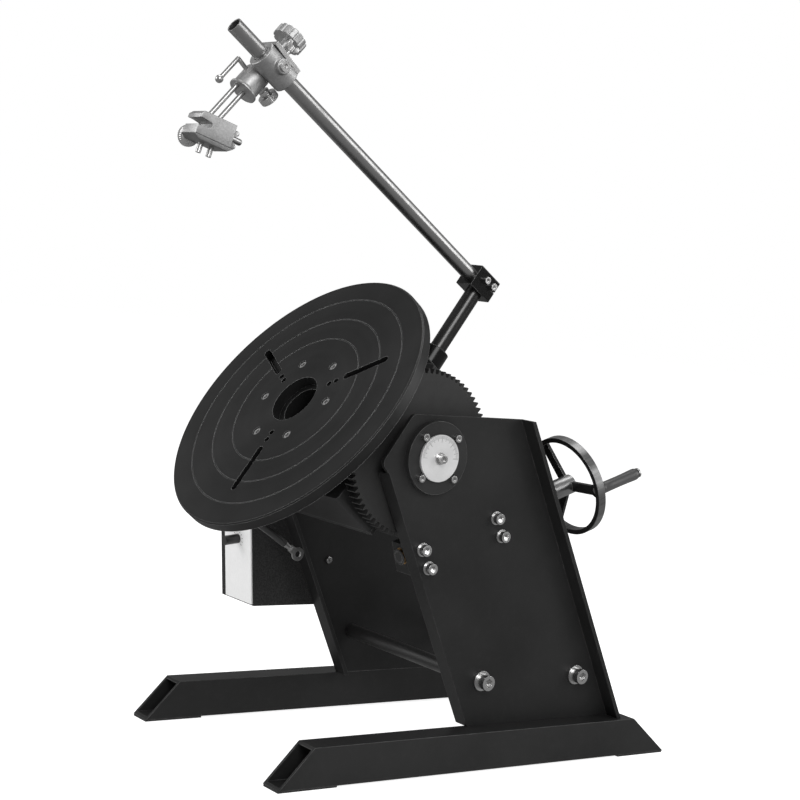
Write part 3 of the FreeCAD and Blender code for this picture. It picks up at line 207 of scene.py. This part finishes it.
def paint(name, dark, light, rough=0.42, grain=1400, depth=0.00004, edge=0.10, edge_radius=0.0009,
          gloss=0.22, place=None):
    """Sprayed or powder-coated black paint: orange peel, faint cloudiness, and lighter edges that are partly
    rubbed wear, partly painted highlight.
    """
    s = Shader(name, place)
    cloud = s.noise(7, 4, 0.6)
    fine = s.noise(grain, 2, 0.6)
    peel = s.noise(grain / 5, 2, 0.5)
    dust = s.between(s.noise(120, 5, 0.7), 0.52, 0.75)
    colour = s.mixed(s.between(cloud, 0.3, 0.7), grey(dark), grey(light))
    colour = s.mixed(s.math("MULTIPLY", dust, 0.25), colour, grey(light * 1.5))
    soft = s.soft_edges(edge_radius)
    # edges painted lighter in patches: partly rubbed wear, partly painted highlight
    worn_and_highlit_edges = s.math("MULTIPLY", s.edge_mask(soft), s.between(s.noise(60, 4, 0.7), 0.3, 0.62))
    colour = s.mixed(worn_and_highlit_edges, colour, grey(edge))
    s.put("Base Color", colour)
    s.put("Roughness", s.between(s.math("ADD", cloud, s.math("MULTIPLY", fine, 0.5)),
                                 0.45, 1.05, rough - 0.06, rough + 0.08))
    s.put("Specular IOR Level", gloss)
    height = s.math("ADD", s.math("MULTIPLY", peel, 0.6), s.math("MULTIPLY", fine, 0.4))
    s.put("Normal", s.bump(height, depth, soft))
    return s.material


def wrinkle_paint():
    """The coarse wrinkled paint of the control box, its colour darker in the hollows of the wrinkles as painted
    shade.
    """
    s = Shader("wrinkle_paint")
    cell = s.add("TexVoronoi", {"Vector": s.place, "Scale": 620.0, "Randomness": 1.0},
                 feature="SMOOTH_F1").outputs["Distance"]
    warp = s.noise(900, 3, 0.7)
    height = s.math("ADD", cell, s.math("MULTIPLY", warp, 0.8))
    soft = s.soft_edges(0.0012)
    # darker where the wrinkles are low: painted shade in the hollows
    colour = s.mixed(s.between(height, 0.35, 1.0), grey(0.004), grey(0.024))
    s.put("Specular IOR Level", 0.22)
    s.put("Base Color", colour)
    s.put("Roughness", s.between(warp, 0.3, 0.7, 0.38, 0.62))
    s.put("Normal", s.bump(height, 0.0004, soft, 0.8))
    return s.material


def steel(name, tone, rough, grain=900, stretch=(1, 1, 1), depth=0.000015, edge_radius=0.0004,
          place=None, grime=0.35, metallic=1.0):
    """Machined or plated steel: fine grain drawn out along its lay, faint stains, and edges painted brighter as a
    painted highlight.
    """
    s = Shader(name, place, Metallic=metallic)
    lay = s.noise(grain, 3, 0.6, stretch)
    stain = s.between(s.noise(45, 5, 0.65), 0.45, 0.75)
    colour = s.mixed(s.math("MULTIPLY", stain, grime), grey(tone, 0.004), grey(tone * 0.55, 0.01))
    soft = s.soft_edges(edge_radius)
    # the edges painted brighter: a painted highlight
    colour = s.mixed(s.math("MULTIPLY", s.edge_mask(soft), 0.5), colour, grey(min(1, tone * 1.35)))
    s.put("Base Color", colour)
    s.put("Roughness", s.between(s.math("ADD", lay, stain), 0.35, 1.5, rough, rough + 0.16))
    s.put("Normal", s.bump(lay, depth, soft))
    return s.material


def turned(name, tone, rough, place, pitch=0.0006, depth=0.00001, metallic=1.0, spread=0.3,
           edge_radius=0.0005, edge=None, gloss=0.5):
    """A face turned on a lathe about the z axis of its frame: rings, each a little different."""
    s = Shader(name, place, Metallic=metallic)
    x, y, z = s.split()
    radius = s.math("SQRT", s.math("ADD", s.math("MULTIPLY", x, x), s.math("MULTIPLY", y, y)))
    ring = s.add("CombineXYZ", {0: s.math("DIVIDE", radius, pitch),
                                1: s.math("DIVIDE", z, pitch)}).outputs[0]
    rings = s.add("TexNoise", {"Vector": ring, "Scale": 1.0, "Detail": 3.0,
                               "Roughness": 0.7}).outputs["Fac"]
    broad = s.add("TexNoise", {"Vector": ring, "Scale": 0.03, "Detail": 2.0}).outputs["Fac"]
    cloud = s.noise(18, 4, 0.6)
    colour = s.mixed(s.between(s.math("ADD", broad, cloud), 0.8, 1.25),
                     grey(tone * (1 - spread)), grey(tone * (1 + spread)))
    soft = s.soft_edges(edge_radius)
    # the edges painted in the edge colour: a painted highlight along rims and chamfers
    colour = s.mixed(s.math("MULTIPLY", s.edge_mask(soft), 0.6), colour,
                     grey(edge if edge is not None else min(1, tone * 1.6)))
    s.put("Base Color", colour)
    s.put("Specular IOR Level", gloss)
    s.put("Roughness", s.between(s.math("ADD", rings, cloud), 0.7, 1.3, rough - 0.06, rough + 0.10))
    s.put("Normal", s.bump(rings, depth, soft))
    spoke = s.add("CombineXYZ", {0: s.math("MULTIPLY", y, -1.0), 1: x, 2: 0.0}).outputs[0]
    s.put("Anisotropic", 0.5)
    lay = s.add("VectorRotate", {"Vector": spoke, "Rotation": tuple(place.to_euler())},
                rotation_type="EULER_XYZ")
    s.put("Tangent", lay.outputs[0])
    return s.material


def cast(name, tone, rough=0.42, grain=520, depth=0.00012):
    """Sand-cast aluminium, shot-blasted: pitted, softly uneven, with edges painted brighter, partly rubbed wear
    and partly painted highlight.
    """
    s = Shader(name, Metallic=1.0)
    pits = s.noise(grain, 4, 0.65)
    cloud = s.noise(55, 4, 0.6)
    soft = s.soft_edges(0.0009)
    colour = s.mixed(s.between(s.math("ADD", pits, cloud), 0.75, 1.25), grey(tone * 0.72), grey(tone))
    # edges painted brighter: partly rubbed wear, partly painted highlight
    colour = s.mixed(s.math("MULTIPLY", s.edge_mask(soft), 0.6), colour, grey(min(1, tone * 1.3)))
    s.put("Base Color", colour)
    s.put("Roughness", s.between(cloud, 0.3, 0.7, rough, rough + 0.14))
    s.put("Normal", s.bump(pits, depth, soft))
    return s.material


def plastic(name, tone, rough=0.35, grain=1800, depth=0.00002):
    """Moulded plastic with a fine spark-eroded grain."""
    s = Shader(name)
    fine = s.noise(grain, 2, 0.6)
    cloud = s.noise(30, 3, 0.6)
    soft = s.soft_edges(0.0008)
    s.put("Base Color", s.mixed(s.between(cloud, 0.3, 0.7), grey(tone * 0.88), grey(tone * 1.08)))
    s.put("Roughness", s.between(cloud, 0.3, 0.7, rough - 0.04, rough + 0.07))
    s.put("Normal", s.bump(fine, depth, soft))
    return s.material


def rubber():
    """Dull moulded rubber with dust in it."""
    s = Shader("rubber")
    dust = s.between(s.noise(160, 5, 0.7), 0.45, 0.75)
    s.put("Base Color", s.mixed(s.math("MULTIPLY", dust, 0.5), grey(0.014), grey(0.06)))
    s.put("Roughness", s.between(dust, 0, 1, 0.62, 0.85))
    s.put("Normal", s.bump(s.noise(1500, 3, 0.7), 0.00006, s.soft_edges(0.0006)))
    return s.material


def bronze():
    """Plain bearing bronze."""
    s = Shader("bronze", Metallic=1.0)
    stain = s.between(s.noise(90, 5, 0.7), 0.4, 0.7)
    s.put("Base Color", s.mixed(stain, (0.50, 0.31, 0.13, 1), (0.30, 0.18, 0.08, 1)))
    s.put("Roughness", s.between(stain, 0, 1, 0.3, 0.5))
    s.put("Normal", s.bump(s.noise(1200, 2), 0.00001, s.soft_edges(0.0004)))
    return s.material


def wheel_steel():
    """The handwheel: a drawn bright rim with painted reflections in bands round it and painted shade on its inner
    part, a pale turned hub, flat dark spokes, and edges painted brighter as a highlight.
    """
    s = Shader("wheel_steel", WHEEL, Metallic=1.0)
    x, y, _ = s.split()
    radius = s.math("SQRT", s.math("ADD", s.math("MULTIPLY", x, x), s.math("MULTIPLY", y, y)))
    angle = s.math("ARCTAN2", y, x)
    rim = s.between(radius, 0.0555, 0.0562)
    face = s.between(radius, 0.0612, 0.0622)
    hub = s.between(radius, 0.0130, 0.0121)
    lay = s.noise(420, 4, 0.65, (1, 1, 0.15))
    # bright and dark bands round the rim: painted reflection
    painted_reflection_bands = s.add("TexNoise", {"Vector": s.add("CombineXYZ", {0: angle}).outputs[0],
                               "Scale": 2.6, "Detail": 4.0, "Roughness": 0.7}).outputs["Fac"]
    stain = s.between(s.noise(70, 5, 0.7), 0.4, 0.72)
    spoke = s.mixed(stain, grey(0.075), grey(0.035))
    drawn = s.mixed(s.between(painted_reflection_bands, 0.3, 0.7), grey(0.11), grey(0.40))
    # the inner part of the rim darker: painted shade
    inner = s.mixed(stain, grey(0.10), grey(0.05))
    pale = s.mixed(s.math("MULTIPLY", stain, 0.5), grey(0.40), grey(0.26))
    colour = s.mixed(rim, spoke, s.mixed(face, inner, drawn))
    colour = s.mixed(hub, colour, pale)
    soft = s.soft_edges(0.0007)
    # the edges painted brighter: a painted highlight
    colour = s.mixed(s.math("MULTIPLY", s.edge_mask(soft), 0.5), colour, grey(0.42))
    s.put("Base Color", colour)
    s.put("Roughness", s.between(s.math("ADD", lay, s.math("MULTIPLY", painted_reflection_bands, 0.6)),
                                 0.5, 1.1, 0.22, 0.42))
    s.put("Normal", s.bump(lay, 0.00002, soft))
    return s.material


def tilt_frame():
    """A frame on the tilt axis: z along X, for the pieces that turn about it."""
    z = Vector((1, 0, 0))
    x = Vector((0, 1, 0))
    turn = Matrix((x, z.cross(x), z)).transposed().to_4x4()
    return Matrix.Translation(TILT_POINT) @ turn


def dial():
    """The white angle dial: moulded plastic with dark engraved degree marks round its rim."""
    s = Shader("dial", tilt_frame())
    x, y, _ = s.split()
    radius = s.math("SQRT", s.math("ADD", s.math("MULTIPLY", x, x), s.math("MULTIPLY", y, y)))
    angle = s.math("ARCTAN2", y, x)
    upper = s.between(angle, math.radians(-4), math.radians(-2))
    upper = s.math("MULTIPLY", upper, s.between(angle, math.radians(184), math.radians(182)))

    def marks(step, width, inner):
        """Radial marks every so many degrees, from an inner radius to the rim."""
        turn = math.radians(step)
        phase = s.math("FRACT", s.math("ADD", s.math("DIVIDE", angle, turn), 1000.5))
        off = s.math("MULTIPLY", s.math("ABSOLUTE", s.math("SUBTRACT", phase, 0.5)), turn)
        line = s.between(s.math("MULTIPLY", off, radius), width, width * 0.5)
        ring = s.math("MULTIPLY", s.between(radius, inner, inner + 0.0002),
                      s.between(radius, 0.0266, 0.0264))
        return s.math("MULTIPLY", line, ring)

    fine = marks(3, 0.00026, 0.0222)
    middle = marks(15, 0.00034, 0.0200)
    long = marks(45, 0.00042, 0.0184)
    ink = s.math("MULTIPLY", s.math("MAXIMUM", s.math("MAXIMUM", fine, middle), long), upper)
    cloud = s.noise(40, 3, 0.6)
    rings = s.add("TexNoise", {"Vector": s.add("CombineXYZ", {0: radius}).outputs[0],
                               "Scale": 1600.0, "Detail": 3.0}).outputs["Fac"]
    base = s.mixed(s.between(s.math("ADD", cloud, rings), 0.7, 1.3), grey(0.54), grey(0.66))
    s.put("Base Color", s.mixed(s.math("MULTIPLY", ink, 0.8), base, grey(0.10)))
    s.put("Metallic", 0.45)
    s.put("Roughness", s.between(rings, 0.3, 0.7, 0.34, 0.46))
    height = s.math("SUBTRACT", s.noise(900, 2), s.math("MULTIPLY", ink, 3.0))
    s.put("Normal", s.bump(height, 0.00002, s.soft_edges(0.0006)))
    return s.material


def brushed_panel():
    """Fine vertical brushing under clear anodising."""
    s = Shader("brushed_panel", Metallic=0.0)
    lay = s.noise(1400, 3, 0.6, (1, 1, 0.02))
    s.put("Base Color", s.mixed(s.between(lay, 0.3, 0.7), grey(0.70), grey(0.78)))
    s.put("Roughness", s.between(lay, 0.3, 0.7, 0.34, 0.50))
    s.put("Normal", s.bump(lay, 0.00001, s.soft_edges(0.0005)))
    return s.material


def floor_paint():
    """The pale floor: white paper with light behind it, which keeps a faint shadow."""
    s = Shader("floor")
    s.put("Base Color", grey(0.62))
    s.put("Roughness", 0.9)
    s.put("Specular IOR Level", 0.05)
    s.put("Emission Color", (1.0, 1.0, 1.0, 1.0))
    s.put("Emission Strength", 0.86)
    return s.material


def make_materials():
    """Every CAD node takes its finish from its slot in the record."""
    slots = {
        "frame_paint": paint("frame_paint", 0.010, 0.015, rough=0.42, edge=0.07),
        "foot_paint": paint("foot_paint", 0.012, 0.018, rough=0.44, edge=0.10, edge_radius=0.0014),
        "pad_rubber": rubber(),
        "rod_steel": steel("rod_steel", 0.06, 0.34, 700, (0.05, 1, 1), metallic=0.7),
        "zinc_screws": steel("zinc_screws", 0.62, 0.24, 700),
        "bearing_black": paint("bearing_black", 0.014, 0.022, rough=0.32, grain=2600, depth=0.00001,
                               edge=0.16, edge_radius=0.0007),
        "bronze": bronze(),
        "gear_steel": steel("gear_steel", 0.035, 0.46, 400, metallic=0.5),
        "bright_steel": steel("bright_steel", 0.50, 0.30, 300, depth=0.000004),
        "wheel_chrome": wheel_steel(),
        "grip_grey": plastic("grip_grey", 0.05, 0.36),
        "housing_paint": paint("housing_paint", 0.010, 0.016, rough=0.46, grain=700,
                               depth=0.00010, edge=0.08, edge_radius=0.0018),
        "dial_white": dial(),
        # edge=0.45 paints the table's rim and chamfer edges bright: a painted highlight
        "table_black": turned("table_black", 0.0075, 0.36, TABLE, metallic=0.0, edge=0.45, gloss=0.26),
        "motor_grey": paint("motor_grey", 0.05, 0.07, rough=0.42, edge=0.16),
        "post_black": steel("post_black", 0.055, 0.26, 300, depth=0.000006, metallic=1.0),
        "clamp_black": paint("clamp_black", 0.003, 0.005, rough=0.16, grain=1200, depth=0.00002,
                             edge=0.10, edge_radius=0.0016),
        "arm_chrome": steel("arm_chrome", 0.36, 0.30, 300, depth=0.000004, grime=0.15),
        "cast_aluminium": cast("cast_aluminium", 0.52),
        "turned_aluminium": steel("turned_aluminium", 0.60, 0.26, 900),
        "brass_lug": steel("brass_lug", 0.45, 0.3, 900),
        "box_paint": wrinkle_paint(),
        "panel_grey": brushed_panel(),
        "knob_black": plastic("knob_black", 0.018, 0.30),
    }
    for row in frame["record"]["subparts"]:
        mesh = NODES[row["node"]].data
        mesh.materials.clear()
        mesh.materials.append(slots[row["material_slot"]])
    return slots


# ---- pieces -----------------------------------------------------------------------

def piece(name, mesh, frame_of, body, slot, material=None, smooth=35):
    """Place a mesh, given in millimetres in a frame, as a piece that rides on a body."""
    mesh.transform(frame_of @ Matrix.Scale(MM, 4))
    mesh.update()
    item = bpy.data.objects.new(name, mesh)
    bpy.context.scene.collection.objects.link(item)
    mesh.materials.append(material or SLOTS[slot])
    mesh.shade_smooth()
    split = item.modifiers.new("creases", "EDGE_SPLIT")
    split.split_angle = math.radians(smooth)
    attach(item, body)
    return item


def finished(bm, name):
    """Turn a bmesh into a mesh with its faces outward."""
    bmesh.ops.recalc_face_normals(bm, faces=bm.faces)
    mesh = bpy.data.meshes.new(name)
    bm.to_mesh(mesh)
    bm.free()
    return mesh


def lathe(name, profile, steps=64, swell=None):
    """Turn a profile of (radius, height) about z; SWELL changes the radius with the angle."""
    bm = bmesh.new()
    rings = []
    for radius, height in profile:
        if radius < 1e-6:
            rings.append([bm.verts.new((0, 0, height))])
            continue
        ring = []
        for step in range(steps):
            angle = 2 * math.pi * step / steps
            grown = swell(radius, height, angle) if swell else radius
            ring.append(bm.verts.new((grown * math.cos(angle), grown * math.sin(angle), height)))
        rings.append(ring)
    for low, high in zip(rings, rings[1:]):
        for step in range(steps):
            after = (step + 1) % steps
            if len(low) == 1:
                bm.faces.new((low[0], high[step], high[after]))
            elif len(high) == 1:
                bm.faces.new((low[step], low[after], high[0]))
            else:
                bm.faces.new((low[step], low[after], high[after], high[step]))
    return finished(bm, name)


def slab(name, outline, thick, bevel, segments=3):
    """A plate with this outline in x and z, centred on y, with rounded edges."""
    bm = bmesh.new()
    low = [bm.verts.new((x, -thick / 2, z)) for x, z in outline]
    high = [bm.verts.new((x, thick / 2, z)) for x, z in outline]
    bm.faces.new(low)
    bm.faces.new(high)
    count = len(outline)
    for step in range(count):
        after = (step + 1) % count
        bm.faces.new((low[step], low[after], high[after], high[step]))
    rims = [edge for edge in bm.edges if abs(edge.verts[0].co.y - edge.verts[1].co.y) < 1e-6]
    bmesh.ops.bevel(bm, geom=rims, offset=bevel, segments=segments, profile=0.5,
                    affect="EDGES", clamp_overlap=True)
    return finished(bm, name)


def about(frame_of, origin, z, x=(1, 0, 0)):
    """A frame inside another one: its origin in millimetres, its z and roughly its x."""
    z = Vector(z).normalized()
    x = Vector(x)
    x = (x - z * x.dot(z)).normalized()
    turn = Matrix((x, z.cross(x), z)).transposed().to_4x4()
    return frame_of @ Matrix.Translation(Vector(origin) * MM) @ turn


def soften_castings():
    """The cast pieces of the torch holder get the rounded edges of a casting."""
    for name, voxel, passes in (("holder_clamp", 0.0007, 5), ("slide_barrel", 0.0007, 3)):
        node = NODES[name]
        remesh = node.modifiers.new("skin", "REMESH")
        remesh.mode = "VOXEL"
        remesh.voxel_size = voxel
        remesh.use_smooth_shade = True
        relax = node.modifiers.new("relax", "SMOOTH")
        relax.factor = 0.5
        relax.iterations = passes


def make_handwheel_grip():
    """The turning grip of the handwheel: slightly waisted, with a domed end and a seam ring."""
    low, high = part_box("crank_handle")
    axis = Vector(JOINTS["crank_spin"]["axis"])
    middle = place_of("crank_spin")
    length = (high - low).y / abs(axis.y) - 15 * abs(axis.z / axis.y) * MM
    near_end = ((low + high) / 2 - middle).dot(axis) - length / 2
    grip = frame_at(middle + axis * near_end, axis)
    long = length / MM
    profile = [(0, 0.2), (5.6, 0.2), (6.6, 0.8), (7.0, 2.0), (7.0, 5.0), (6.7, 5.6), (7.0, 6.2),
               (6.85, 16), (6.75, long * 0.5), (7.0, long - 16), (7.3, long - 7),
               (7.2, long - 3.6), (6.5, long - 1.5), (5.2, long - 0.6), (4.2, long - 0.4),
               (4.0, long - 1.6), (0, long - 1.6)]
    shape = piece("grip", lathe("grip", profile), grip, "crank", "grip_grey")
    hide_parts("crank_handle")


def knurled(radius, height, angle):
    """Straight knurling on the widest part of a knob."""
    return radius + (0.22 * math.cos(angle * 36) if radius > 9.5 else 0.0)


def wing_outline(span, high, neck):
    """Half-round wings on both sides of a small boss."""
    points = [(-neck, 0.0), (neck, 0.0), (neck + 1.2, high * 0.18)]
    ear = high * 0.36
    centre = (span / 2 - ear * 0.8, high - ear)
    for step in range(9):
        angle = math.radians(-70 + 200 * step / 8)
        points.append((centre[0] + ear * 0.8 * math.cos(angle), centre[1] + ear * math.sin(angle)))
    points.append((neck * 0.8, high * 0.42))
    points.append((0.0, high * 0.34))
    points.append((-neck * 0.8, high * 0.42))
    for step in range(9):
        angle = math.radians(50 + 200 * step / 8)
        points.append((-centre[0] + ear * 0.8 * math.cos(angle), centre[1] + ear * math.sin(angle)))
    points.append((-neck - 1.2, high * 0.18))
    return points


def make_holder_details():
    """The two knurled knobs of the torch holder, each in place of its plain CAD piece."""
    lock = frame_at(place_of("lock_turn"), -Vector(JOINTS["lock_turn"]["axis"]))
    profile = [(0, -2.8), (5.6, -2.8), (6, -2.4), (6, 2.6), (6.6, 3.0), (9.4, 3.0), (10.7, 3.6),
               (10.8, 4.2), (10.8, 10.2), (10.5, 11.2), (9.6, 11.8), (5, 11.8), (4.4, 11.2),
               (0, 11.2)]
    shape = piece("locking_knob", lathe("locking_knob", profile, 216, knurled), lock, "lock",
                  "turned_aluminium")
    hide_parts("lock_knob")
    side = place_of("side_knob_turn")
    profile = [(0, -3.8), (8.6, -3.8), (9.2, -3.4), (11.4, -3.2), (11.7, -2.6), (11.7, 2.6),
               (11.4, 3.2), (9.2, 3.4), (8.6, 3.8), (0, 3.8)]
    frame_of = about(Matrix.Translation(side), (0, 0, 0), (1, 0, 0), (0, 1, 0))
    shape = piece("clamp_roll", lathe("clamp_roll", profile, 216, knurled), frame_of,
                  "side_knob", "turned_aluminium")
    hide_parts("torch_knob")


def make_panel_details():
    """A scale of plain ticks round the knob of the control panel."""
    outward = -Vector(JOINTS["speed_turn"]["axis"])
    face = about(Matrix.Translation(place_of("speed_turn")), (0, 0, 0), outward, (1, 0, 0))
    bm = bmesh.new()
    for step in range(11):
        angle = math.radians(-135 + 27 * step + 90)
        across = Vector((math.cos(angle), math.sin(angle), 0))
        along = Vector((-across.y, across.x, 0))
        wide = 0.45 if step % 5 == 0 else 0.3
        corners = [across * 8.6 - along * wide, across * 8.6 + along * wide,
                   across * 11.0 + along * wide, across * 11.0 - along * wide]
        low = [bm.verts.new(corner + Vector((0, 0, 0.02))) for corner in corners]
        high = [bm.verts.new(corner + Vector((0, 0, 0.14))) for corner in corners]
        bm.faces.new(high)
        for start in range(4):
            after = (start + 1) % 4
            bm.faces.new((low[start], low[after], high[after], high[start]))
    piece("knob_scale", finished(bm, "knob_scale"), face, "base", "knob_black")


def tube(name, path, radius, steps=24):
    """A round sleeve along a path that lies in a plane across x, with closed ends."""
    bm = bmesh.new()
    rings = []
    for index, point in enumerate(path):
        ahead = path[min(index + 1, len(path) - 1)] - path[max(index - 1, 0)]
        side = ahead.normalized().cross(Vector((1, 0, 0)))
        rings.append([bm.verts.new(point + radius * (Vector((1, 0, 0)) * math.cos(turn)
                                                     + side * math.sin(turn)))
                      for turn in (2 * math.pi * step / steps for step in range(steps))])
    for low, high in zip(rings, rings[1:]):
        for step in range(steps):
            after = (step + 1) % steps
            bm.faces.new((low[step], low[after], high[after], high[step]))
    bm.faces.new(rings[0])
    bm.faces.new(rings[-1])
    return finished(bm, name)


def rounded(path, passes=4):
    """Cut the corners of a path until it is smooth; its ends stay."""
    for _ in range(passes):
        cut = [path[0]]
        for start, end in zip(path, path[1:]):
            cut += [start * 0.75 + end * 0.25, start * 0.25 + end * 0.75]
        path = cut + [path[-1]]
    return path


def make_torch_block():
    """The torch block with its jaws, the sole plate under it, and its wing screw behind."""
    side_on = about(CLIP, (0, 0, 0), (0, 0, 1), (0, 1, 0))
    jaws = [(-13, 0), (13, 0), (13, 42), (9, 46), (4.5, 46), (4.5, 31), (3, 29), (-1.5, 29),
            (-3, 31), (-3, 46), (-13, 46)]
    shape = piece("torch_jaws", slab("torch_jaws", jaws, 28, 0.9), side_on, "guide",
                  "cast_aluminium")
    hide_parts("torch_block")
    sole = [(-13.1, -4), (-13.1, 47.8), (-18, 40.8), (-18, 3)]
    # the sole takes a darker copy of the cast aluminium: painted shade under the block
    piece("torch_sole", slab("torch_sole", sole, 28, 0.7), side_on, "guide", "cast_aluminium",
          cast("sole_cast_painted_shade", 0.34))
    behind = about(CLIP, (0, 0, 0), (0, 0, -1), (0, 1, 0))
    profile = [(0, 0.2), (4.8, 0.2), (4.8, 2.2), (3.9, 3), (3.7, 16.5), (3.0, 17.8), (0, 17.8)]
    boss = piece("tee_boss", lathe("tee_boss", profile), behind, "tee", "bright_steel")
    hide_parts("tee_screw")
    piece("tee_wings", slab("tee_wings", wing_outline(21, 11, 3.2), 3.4, 1.2),
          about(CLIP, (0, 0, -2), (0, 0, -1), (0, 1, 0)), "tee", "bright_steel")


def make_wing_screw():
    """The cast wings and boss of the slide's clamping screw."""
    screw = frame_at(place_of("wing_turn"), JOINTS["wing_turn"]["axis"])
    profile = [(0, 0.1), (2.5, 0.1), (2.5, 5), (4, 5.4), (3.7, 12), (3, 12.8), (0, 12.8)]
    boss = piece("wing_boss", lathe("wing_boss", profile), screw, "wing", "bright_steel")
    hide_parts("wing_screw")
    piece("wings", slab("wings", wing_outline(18, 11, 3.2), 3, 1.1),
          about(screw, (0, 0, 6), (0, 0, 1), (0, 1, 0)), "wing", "bright_steel")


def make_slot_shade_strips():
    """Thin dark strips at the back of the three clamping slots of the table: dark sheets that stand for the shade
    inside the slots.
    """
    back = min((TABLE.inverted() @ v.co).z for v in NODES["table_plate"].data.vertices) / MM
    for number in range(3):
        turn = math.radians(SLOT_TURN + 120 * number)
        along = Vector((math.cos(turn), math.sin(turn), 0))
        outline = [(at + 4.2 * math.cos(angle), 4.2 * math.sin(angle))
                   for at, start in ((SLOT_OUTER, -90), (SLOT_INNER, 90))
                   for angle in (math.radians(start + 22.5 * step) for step in range(9))]
        name = "slot_shade_strip_%d" % (number + 1)
        place = about(TABLE, (0, 0, back + 1.2), along.cross((0, 0, 1)), along)
        # a dark rubber strip as painted shade in the slot
        piece(name, slab(name, outline, 1.0, 0.2, 1), place, "turntable", "table_black",
              SLOTS["pad_rubber"])


def make_earth_cable():
    """The earth cable that hangs behind the table, with its crimped ring lug."""
    across = -26
    points = [(-141, 337), (-166, 322), (-184, 296), (-184, 270), (-150, 251), (-128, 237)]
    path = rounded([Vector((across, y, z)) for y, z in points])
    space = Matrix.Identity(4)
    sleeve = piece("earth_sleeve", tube("earth_sleeve", path, 4.4), space, "head", "knob_black")
    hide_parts("earth_stub")
    end = path[-1]
    ahead = (path[-1] - path[-2]).normalized()
    crimp = about(Matrix.Translation(end * MM), (0, 0, 0), ahead)
    profile = [(0, -3), (3.4, -3), (3.6, -2.4), (3.6, 4), (3.0, 5), (3.0, 9), (3.6, 10),
               (3.6, 12), (0, 12)]
    shape = piece("lug_barrel", lathe("lug_barrel", profile, 32), crimp, "head", "brass_lug")
    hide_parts("earth_lug")
    ring = [(8, -1.3), (8, 1.3), (4, 1.3), (4, -1.3), (8, -1.3)]
    eye = about(Matrix.Translation((end + ahead * 24) * MM), (0, 0, 0), (1, 0, 0), ahead)
    piece("lug_eye", lathe("lug_eye", ring, 48), eye, "head", "brass_lug")
    neck = [(-4, 10), (4, 10), (4.6, 18), (-4.6, 18)]
    piece("lug_neck", slab("lug_neck", neck, 2.4, 0.3, 1),
          about(crimp, (0, 0, 0), (0, 0, 1), Vector((1, 0, 0)).cross(ahead)), "head", "brass_lug")


def make_frame_details():
    """A small screw inside the far plate, and the dark cap on the front end of the worm shaft."""
    place = about(Matrix.Translation(PLATE_SCREW), (0, 0, 0), (1, 0, 0), (0, 1, 0))
    profile = [(0, 0.05), (4.3, 0.05), (4.3, 2.4), (3.7, 3), (1.9, 3), (1.9, 1.4), (0, 1.4)]
    piece("plate_screw", lathe("plate_screw", profile, 48), place, "base", "zinc_screws")
    front = min((WHEEL.inverted() @ v.co).z for v in NODES["worm_shaft"].data.vertices) / MM
    profile = [(0, -0.1), (9.2, -0.1), (9.6, -0.5), (9.6, -1.1), (9.2, -1.5), (7.4, -1.5),
               (7.2, -1.2), (6.4, -1.2), (6.2, -1.5), (0, -1.5)]
    piece("shaft_cap", lathe("shaft_cap", profile, 72), about(WHEEL, (0, 0, front), (0, 0, 1)),
          "worm_drive", "bearing_black")


# ---- stage ------------------------------------------------------------------------

def make_floor():
    """A large pale floor that the machine stands on."""
    half = 12.0
    mesh = bpy.data.meshes.new("floor")
    mesh.from_pydata([(-half, -half, 0), (half, -half, 0), (half, half, 0), (-half, half, 0)],
                     [], [(0, 1, 2, 3)])
    floor = bpy.data.objects.new("floor", mesh)
    floor.location.z = -0.0002
    bpy.context.scene.collection.objects.link(floor)
    mesh.materials.append(floor_paint())
    floor.visible_glossy = False


def area_light(name, place, aim, width, height, power):
    """A soft rectangular lamp that faces a point."""
    data = bpy.data.lights.new(name, "AREA")
    data.shape = "RECTANGLE"
    data.size = width
    data.size_y = height
    data.energy = power
    lamp = bpy.data.objects.new(name, data)
    lamp.location = place
    lamp.rotation_euler = (Vector(aim) - Vector(place)).to_track_quat("-Z", "Y").to_euler()
    bpy.context.scene.collection.objects.link(lamp)


def make_lights():
    """Soft boxes to the right, left and above, and a plain world."""
    middle = (0, 0, 0.4)
    area_light("key", (2.4, -0.9, 1.9), middle, 1.2, 1.6, 44)
    area_light("rear", (1.9, 2.4, 1.6), middle, 1.4, 1.8, 28)
    area_light("front", (-1.6, -2.6, 1.5), middle, 1.2, 2.0, 34)
    area_light("top", (-0.2, 0.2, 3.0), middle, 1.8, 1.8, 26)
    world = bpy.data.worlds.new("studio")
    bpy.context.scene.world = world
    world.use_nodes = True
    tree = world.node_tree
    background = tree.nodes["Background"]
    path = tree.nodes.new("ShaderNodeLightPath")
    level = tree.nodes.new("ShaderNodeMapRange")
    level.inputs["To Min"].default_value = 0.30
    level.inputs["To Max"].default_value = 1.0
    tree.links.new(path.outputs["Is Camera Ray"], level.inputs["Value"])
    background.inputs["Color"].default_value = (1, 1, 1, 1)
    tree.links.new(level.outputs[0], background.inputs["Strength"])
    bpy.context.scene.view_settings.view_transform = "Standard"


make_camera()
SLOTS = make_materials()
soften_castings()
make_handwheel_grip()
make_holder_details()
make_panel_details()
make_torch_block()
make_wing_screw()
make_slot_shade_strips()
make_earth_cable()
make_frame_details()
make_floor()
make_lights()
